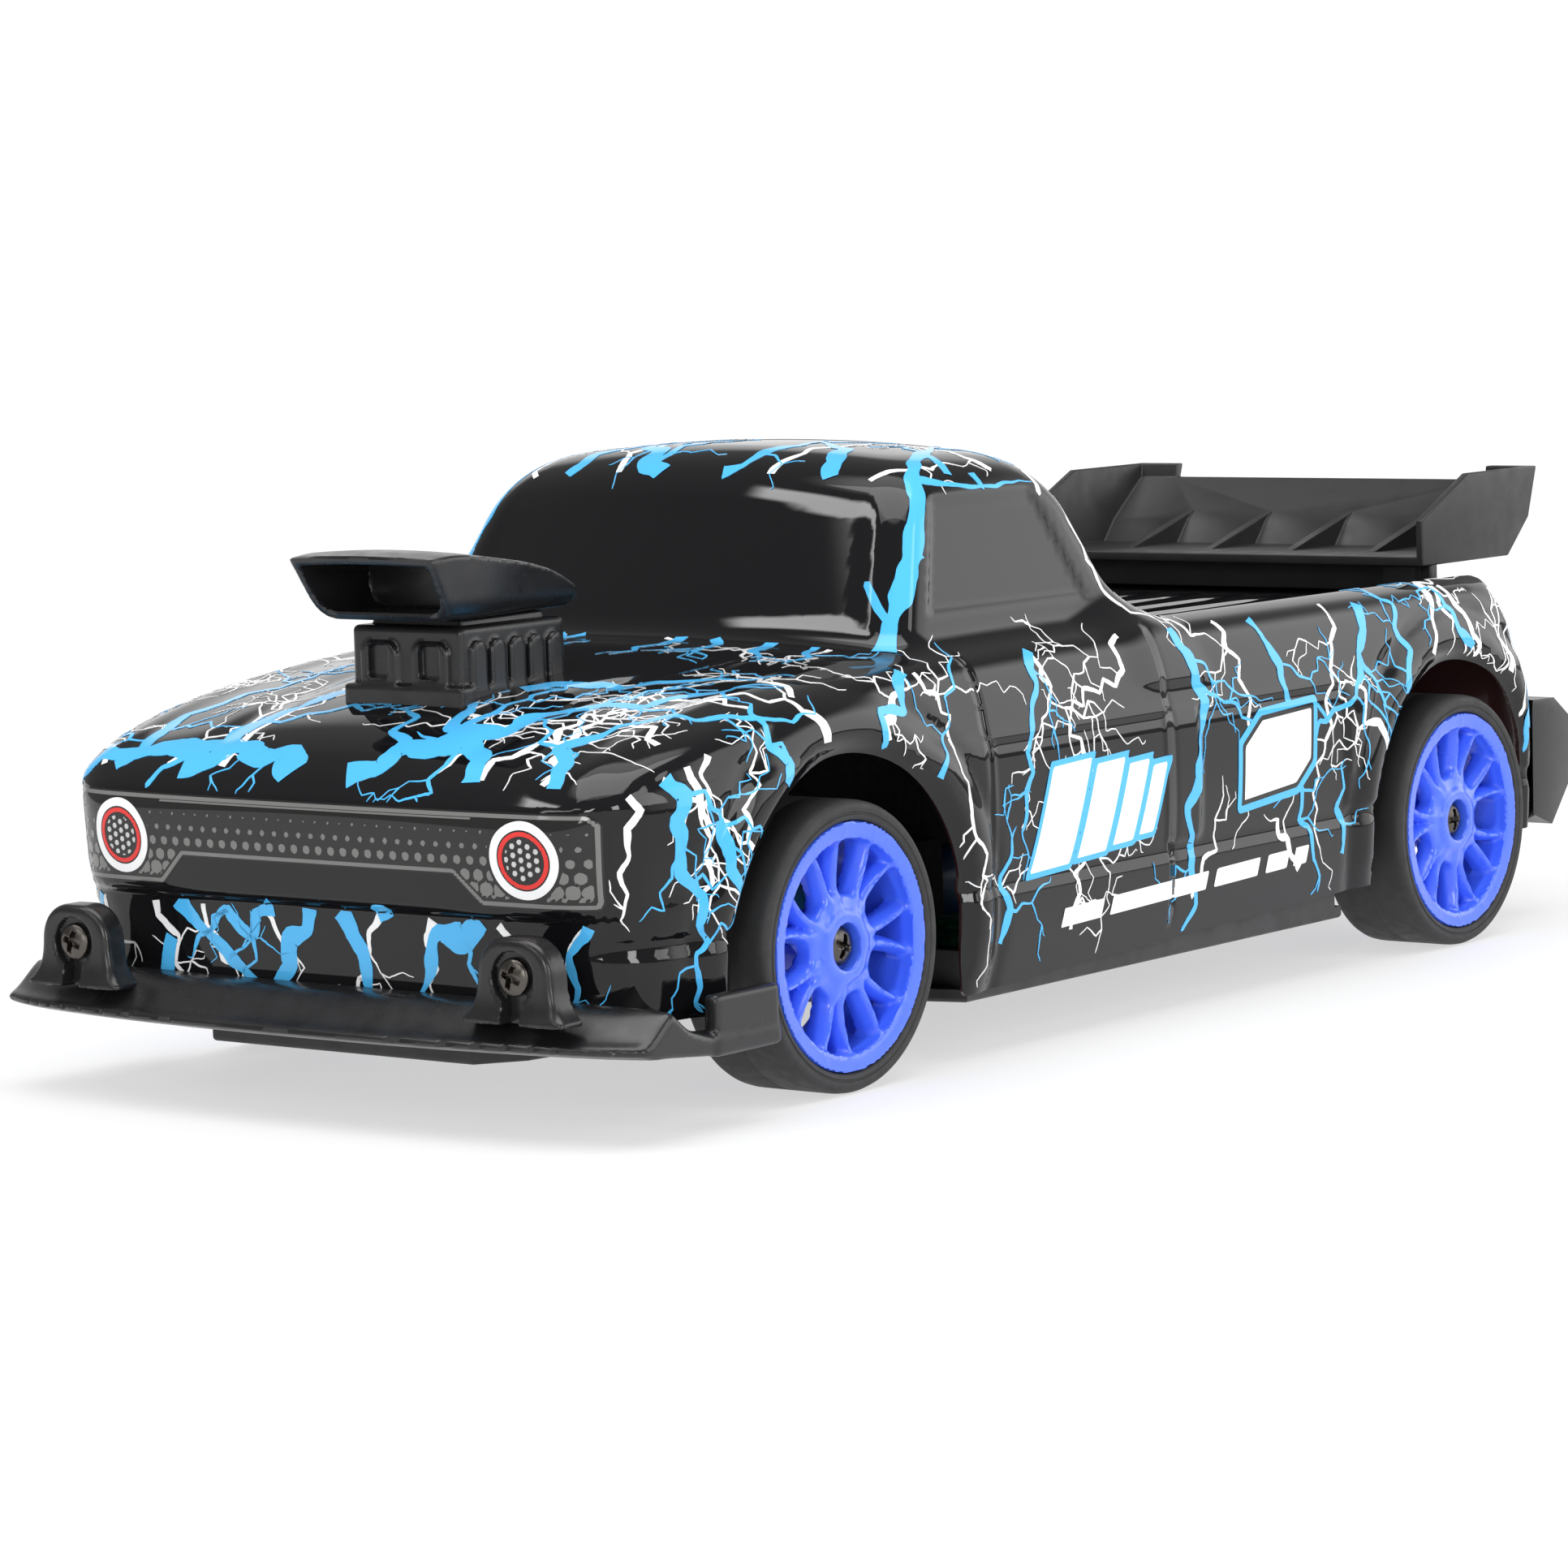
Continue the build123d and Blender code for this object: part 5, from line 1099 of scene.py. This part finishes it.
def dashes(u, v):
    zc = 19.0 + 0.030 * (u + 30)
    s_ = 1.45 - np.abs(v - zc)
    uu = u - (v - zc) * 0.3
    seg = np.full(u.shape, -1e9)
    for a_, b_ in ((-27.5, -16.5), (-14.0, 13.5), (16.0, 29.0), (31.5, 38.0), (40.0, 44.0)):
        seg = np.maximum(seg, np.minimum(uu - a_, b_ - uu))
    return np.minimum(s_, seg)


for side_ in ("left", "right"):
    decal(f"{side_}_flash_edge", lambda u, v: flash(u, v, 0.9), side_, (-38, 6, 24, 46), PRINT_BLUE, 0.12, 0.55)
    decal(f"{side_}_flash", lambda u, v: flash(u, v, 0.0), side_, (-38, 6, 24, 46), PRINT_WHITE, 0.16, 0.55)
    decal(f"{side_}_panel_edge", lambda u, v: panel_sdf(u, v) + 1.1, side_, (21, 50, 28, 49), PRINT_BLUE, 0.12, 0.55)
    decal(f"{side_}_panel_gap", lambda u, v: panel_sdf(u, v) - 0.1, side_, (21, 50, 28, 49), PRINT_DARK, 0.14, 0.55)
    decal(f"{side_}_panel", lambda u, v: panel_sdf(u, v) - 0.9, side_, (21, 50, 28, 49), PRINT_WHITE, 0.16, 0.55)
    decal(f"{side_}_dashes", dashes, side_, (-29, 47, 16, 24), PRINT_WHITE, 0.12, 0.5)


def bed_stripes(u, v):
    k = np.round(u / 9.2)
    c_ = k * 9.2
    end = 33.0 + 3.4 * ((k * 7) % 5)
    d = 2.6 - np.abs(u - c_)
    tip = 2.6 - np.hypot(u - c_, v - (end - 2.6))
    s_ = np.where(v > end - 2.6, tip, d)
    return np.minimum.reduce([s_, v - 13.5, 43.0 - np.abs(u)])


decal("bed_stripes", bed_stripes, "top", (-44, 44, 13, 52), PRINT_SILVER, 0.08, 0.6)

# lightning: (start, heading, width, length, kink, branching)
print("shell: growing bolts")


def spread(n, a_, b_, r_, j=1.0):
    a_, b_ = np.array(a_, float), np.array(b_, float)
    out = []
    for i in range(n):
        t = (i + 0.5 + r_.uniform(-0.35, 0.35) * j) / n
        out.append(a_ + (b_ - a_) * t)
    return out


def seeds_for(sg, r_):
    """Seeds for one side; sg is the side's sign."""
    m = lambda v: (v[0] * sg, v[1], v[2])
    u = r_.uniform
    blue, white = [], []

    def b(p, h_, w, L, k=0.55, br=0.30):
        blue.append((m(p), m(h_), w, L, k, br))

    def w(p, h_, w_, L, k=0.62, br=0.42):
        white.append((m(p), m(h_), w_, L, k, br))

    # hood: broad blue bolts that sweep back and across, thin white ones beside them
    b((5 + u(-1, 1), -133.6, 50.0), (0.95, 1, 0.1), 4.6, 76, 0.62, 0.55)
    b((26 + u(-2, 2), -133.2, 50.0), (-0.75, 1, 0.1), 3.8, 70, 0.62, 0.55)
    b((42 + u(-1, 1), -132.6, 50.0), (-0.25, 1, 0.1), 2.4, 60, 0.62, 0.5)
    b((14, -104, 60.0), (0.9, 0.9, 0.1), 3.0, 44, 0.6, 0.5)
    for p in spread(4, (3, -60.6, 63.6), (40, -59.4, 62.8), r_):
        b(p, (u(-0.8, 0.8), -1, 0), u(1.2, 2.4), u(10, 22), 0.6, 0.6)
    for p in spread(3, (10, -133, 50), (48, -131, 49), r_):
        w(p, (u(-0.7, 0.7), 1, 0), u(0.8, 1.4), u(30, 62), 0.62, 0.6)
    for p in spread(3, (48, -124, 51), (52, -78, 59), r_):
        w(p, (-1, u(-0.1, 0.9), 0.1), u(0.6, 1.1), u(20, 40), 0.62, 0.6)
    for p in spread(3, (4, -61, 63.2), (43, -59.5, 62.6), r_):
        w(p, (u(-1, 1), -0.7, 0), u(0.6, 1.1), u(12, 26), 0.62, 0.6)
    # lower nose: broad bolts that run across as much as down
    b((3, -133, 29.7), (0.35, 0, -1), 3.4, 20, 0.5, 0.7)
    b((10, -133, 29.7), (1.0, 0, -0.42), 3.0, 26, 0.75, 0.8)
    b((29, -133, 29.7), (-0.75, 0, -0.75), 3.6, 22, 0.6, 0.8)
    b((31, -133, 24.0), (0.35, 0, -1), 2.4, 14, 0.6, 0.6)
    b((47, -131, 29.4), (-0.1, 0, -1), 1.8, 20, 0.6, 0.6)
    for p in spread(4, (5, -133, 29.4), (49, -130.6, 29.2), r_):
        w(p, (u(-0.8, 0.8), 0, -1), u(0.8, 1.7), u(12, 22), 0.7, 0.6)
    # front wing corner and along the front arch
    for p in spread(4, (50, -131, 46), (56.6, -108, 54), r_):
        w(p, (0.3, u(-0.3, 0.7), -1), u(0.7, 1.25), u(22, 46), 0.7, 0.5)
    b((54.5, -121, 50), (0.1, 0.15, -1), 2.2, 46, 0.6, 0.6)
    b((57, -112, 43), (0.0, 0.2, -1), 1.8, 34, 0.6, 0.6)
    for a_, bl in ((146, 0), (124, 1), (100, 0), (72, 0), (48, 1)):
        t = math.radians(a_)
        rr_ = AF[1] + 2.4
        p = (57.5, AF[0] + rr_ * math.cos(t), ZA + rr_ * math.sin(t))
        (b if bl else w)(p, (0, math.cos(t) + u(-0.8, 0.8), math.sin(t) + 0.3), u(1.0, 1.7), u(18, 40), 0.7, 0.55)
    # from the shoulder down over the door and the bed side
    for p in spread(6, (53.5, -76, 60), (51, 108, 62.6), r_):
        w(p, (0.3, u(-0.7, 0.8), -1), u(0.9, 1.5), u(34, 78), 0.62, 0.5)
    for y0, w_, L in ((-62, 2.3, 56), (-30, 1.7, 40), (10, 2.6, 74), (34, 2.2, 60), (66, 2.4, 52)):
        b((52.8, y0 + u(-4, 4), 61), (0.3, u(-0.6, 0.9), -1), w_, L, 0.55, 0.45)
    for p in spread(3, (57, -40, 16.5), (57, 58, 19.5), r_):
        w(p, (0, u(-1, 1), 0.9), u(0.8, 1.3), u(14, 30), 0.7, 0.5)
    b((57, -44, 17), (0, 0.3, 1), 1.8, 20, 0.6, 0.6)
    b((57, 55, 20), (0, 0.2, 1), 1.6, 18, 0.6, 0.6)
    # round the rear arch and the tail corner
    for a_, bl in ((150, 0), (128, 1), (104, 0), (78, 1), (54, 0), (30, 1)):
        t = math.radians(a_)
        rr_ = AR[1] + 2.4
        p = (57.0, AR[0] + rr_ * math.cos(t), ZA + rr_ * math.sin(t))
        (b if bl else w)(p, (0, math.cos(t) + u(-0.9, 0.9), math.sin(t)), u(1.1, 2.2), u(16, 38), 0.7, 0.6)
    w((51, 96, 62.6), (0.3, 0.3, -1), 1.2, 40)
    w((51.5, 114, 60), (0.3, 0.2, -1), 1.2, 44)
    b((52, 119, 58), (0, 0.15, -1), 2.2, 46, 0.5, 0.5)
    # tail panel
    for p in spread(3, (6, 121, 60.5), (44, 121, 60.5), r_):
        (w if r_.random() < 0.5 else b)(p, (u(-0.6, 0.6), 0.3, -1), u(1.2, 2.6), u(26, 46), 0.6, 0.45)
    # roof
    b((6, -43.6, 87.4), (0.7, 1, 0.3), 3.0, 34)
    b((26, -43.0, 87.2), (-0.5, 1, 0.3), 2.4, 30)
    w((15, -43.4, 87.4), (0.2, 1, 0.3), 1.2, 34)
    w((33, -42.6, 87.0), (0.4, 1, 0.3), 1.1, 28)
    b((39.2, -30, 87.6), (-0.9, 0.4, 0.4), 1.8, 24)
    w((39.0, -18, 87.8), (-0.8, -0.4, 0.4), 1.2, 24)
    w((38.5, -9, 87.2), (0.9, 0.3, -0.4), 1.1, 20)
    b((39.2, -24, 87.4), (0.9, 0.2, -0.6), 1.6, 9)
    # behind the cab
    w((42, -3, 84), (0.1, 0.3, -1), 1.3, 34, 0.5, 0.3)
    w((46.5, 5, 68), (0.2, 0.6, -1), 1.2, 26)
    w((30, 3.5, 74), (0.3, 0.4, -1), 1.0, 16)
    # windscreen pillar
    b((45.4, -57.0, 61.0), (-0.20, 0.50, 1), 3.4, 90, 0.08, 0.30)
    return blue, white


BL, WH = [], []
for sg in (1, -1):
    b_, w_ = seeds_for(sg, np.random.default_rng(77 + sg))
    BL += b_
    WH += w_
tb = grow(BL, np.random.default_rng(5))
tw = grow(WH, np.random.default_rng(9))
print("bolts:", len(tb), len(tw))
ribbons("bolts_white", tw, PRINT_WHITE, 0.075, 0.065)
ribbons("bolts_blue", tb, PRINT_BLUE, 0.10, 0.09)

# ------------------------------------------------------------------ camera, floor and light
cam_d = bpy.data.cameras.new("camera")
cam = bpy.data.objects.new("camera", cam_d)
bpy.context.scene.collection.objects.link(cam)
AZ, EL, ROLL = math.radians(37.036), math.radians(5.971), math.radians(-1.516)
back = Vector((math.sin(AZ) * math.cos(EL), -math.cos(AZ) * math.cos(EL), math.sin(EL)))
fwd = -back
right = fwd.cross(Vector((0, 0, 1))).normalized()
up = right.cross(fwd)
r2 = right * math.cos(ROLL) + up * math.sin(ROLL)
u2 = -right * math.sin(ROLL) + up * math.cos(ROLL)
M = Matrix((r2, u2, back)).transposed().to_4x4()
M.translation = Vector((0.519369, -0.627885 - 0.083 - MID * 0.001, 0.127118))
cam.matrix_world = M
cam_d.sensor_width = 36.0
cam_d.lens = 124.19
cam_d.clip_start = 0.05
cam_d.clip_end = 60
bpy.context.scene.camera = cam

FLOOR = principled("floor", (0.86, 0.86, 0.865), 0.6, rough_noise=(3, 0.55, 0.65))
ft = FLOOR.node_tree
f_tc = ft.nodes.new("ShaderNodeTexCoord")
f_len = ft.nodes.new("ShaderNodeVectorMath")
f_len.operation = "LENGTH"
ft.links.new(f_tc.outputs["Object"], f_len.inputs[0])
f_map = ft.nodes.new("ShaderNodeMapRange")
f_map.interpolation_type = "SMOOTHSTEP"
f_map.inputs["From Min"].default_value = 0.16
f_map.inputs["From Max"].default_value = 0.55
f_map.inputs["To Min"].default_value = 0.55
ft.links.new(f_len.outputs["Value"], f_map.inputs["Value"])
f_em = ft.nodes.new("ShaderNodeEmission")
f_em.inputs["Color"].default_value = (1, 1, 1, 1)
f_em.inputs["Strength"].default_value = 1.05
f_mix = ft.nodes.new("ShaderNodeMixShader")
ft.links.new(f_map.outputs["Result"], f_mix.inputs[0])
ft.links.new(ft.nodes["Principled BSDF"].outputs[0], f_mix.inputs[1])
ft.links.new(f_em.outputs[0], f_mix.inputs[2])
ft.links.new(f_mix.outputs[0], ft.nodes["Material Output"].inputs["Surface"])
bpy.ops.mesh.primitive_plane_add(size=30, location=(0, 0, 0))
floor = bpy.context.object
floor.name = "floor"
floor.data.materials.append(FLOOR)

world = bpy.data.worlds.new("studio")
bpy.context.scene.world = world
world.use_nodes = True
wt = world.node_tree
bg = wt.nodes["Background"]
bg.inputs["Strength"].default_value = 1.0


def node(kind, **props):
    n = wt.nodes.new(kind)
    for k, v in props.items():
        setattr(n, k, v)
    return n


def maths(op, a, b=None, clamp=False):
    n = node("ShaderNodeMath", operation=op, use_clamp=clamp)
    for i, q in enumerate((a, b)):
        if q is None:
            continue
        if isinstance(q, (int, float)):
            n.inputs[i].default_value = q
        else:
            wt.links.new(q, n.inputs[i])
    return n.outputs[0]


def smooth_range(v, lo, hi, to):
    n = node("ShaderNodeMapRange", interpolation_type="SMOOTHSTEP")
    n.inputs["From Min"].default_value = lo
    n.inputs["From Max"].default_value = hi
    n.inputs["To Min"].default_value = 0.0
    n.inputs["To Max"].default_value = to
    wt.links.new(v, n.inputs["Value"])
    return n.outputs["Result"]


# a studio: overhead light, a bright wall behind the car with a dark gap at its foot, two small boxes ahead of the
# windscreen, dim everywhere else; the camera sees plain white
tcw = node("ShaderNodeTexCoord")
sep = node("ShaderNodeSeparateXYZ")
wt.links.new(tcw.outputs["Generated"], sep.inputs[0])
DX, DY, DZ = sep.outputs["X"], sep.outputs["Y"], sep.outputs["Z"]
ceiling = smooth_range(DZ, 0.86, 0.90, 1.6)
wall_hi = maths("SUBTRACT", 1.0, smooth_range(DZ, 0.42, 0.56, 1.0))
wall_lo = smooth_range(DZ, 0.035, 0.055, 1.0)
wall_y = smooth_range(DY, 0.25, 0.55, 1.0)
wall_lv = maths("ADD", 0.85, smooth_range(DX, 0.0, 0.35, 1.15))
wall = maths("MULTIPLY", maths("MULTIPLY", wall_hi, wall_lo), maths("MULTIPLY", wall_y, wall_lv))


def window(v, lo, hi, soft):
    return maths("MULTIPLY", smooth_range(v, lo, lo + soft, 1.0), maths("SUBTRACT", 1.0, smooth_range(v, hi - soft, hi, 1.0)))


boxes = maths("ADD", window(DX, -0.55, -0.33, 0.03), window(DX, -0.90, -0.77, 0.03))
boxes = maths("MULTIPLY", maths("MULTIPLY", boxes, window(DZ, 0.71, 0.83, 0.03)), maths("MULTIPLY", smooth_range(DY, -0.1, -0.2, 1.0), 9.0))
near_box = maths("MULTIPLY", maths("MULTIPLY", window(DX, 0.30, 0.50, 0.03), window(DZ, 0.10, 0.42, 0.05)),
                 maths("MULTIPLY", smooth_range(DY, -0.3, -0.5, 1.0), 12.0))
right_box = maths("MULTIPLY", maths("MULTIPLY", window(DY, -0.46, -0.26, 0.03), window(DZ, 0.02, 0.42, 0.04)),
                  maths("MULTIPLY", smooth_range(DX, 0.5, 0.7, 1.0), 10.0))
level = maths("ADD", maths("ADD", maths("ADD", ceiling, wall), maths("ADD", boxes, maths("ADD", near_box, right_box))), 0.26)
lp = node("ShaderNodeLightPath")
mixw = node("ShaderNodeMix", data_type="FLOAT")
wt.links.new(lp.outputs["Is Camera Ray"], mixw.inputs[0])
wt.links.new(level, mixw.inputs[2])
mixw.inputs[3].default_value = 1.12
comb = node("ShaderNodeCombineColor")
for i in range(3):
    wt.links.new(mixw.outputs[0], comb.inputs[i])
wt.links.new(comb.outputs[0], bg.inputs["Color"])
bpy.context.scene.view_settings.view_transform = "Standard"


def area(name, loc, target, size, power, size_y=None):
    d = bpy.data.lights.new(name, "AREA")
    d.energy = power
    d.size = size
    if size_y:
        d.shape = "RECTANGLE"
        d.size_y = size_y
    o = bpy.data.objects.new(name, d)
    bpy.context.scene.collection.objects.link(o)
    o.location = loc
    o.rotation_euler = (Vector(target) - Vector(loc)).to_track_quat("-Z", "Y").to_euler()
    return o


area("top box", (0.1, -0.15, 1.3), (0, 0, 0.03), 1.3, 7, 0.8)
area("side strip", (1.5, 0.35, 0.75), (0, 0, 0.04), 0.35, 4, 1.0)
area("front strip", (-0.2, -1.5, 0.9), (0, 0, 0.04), 0.9, 3.0, 0.25)
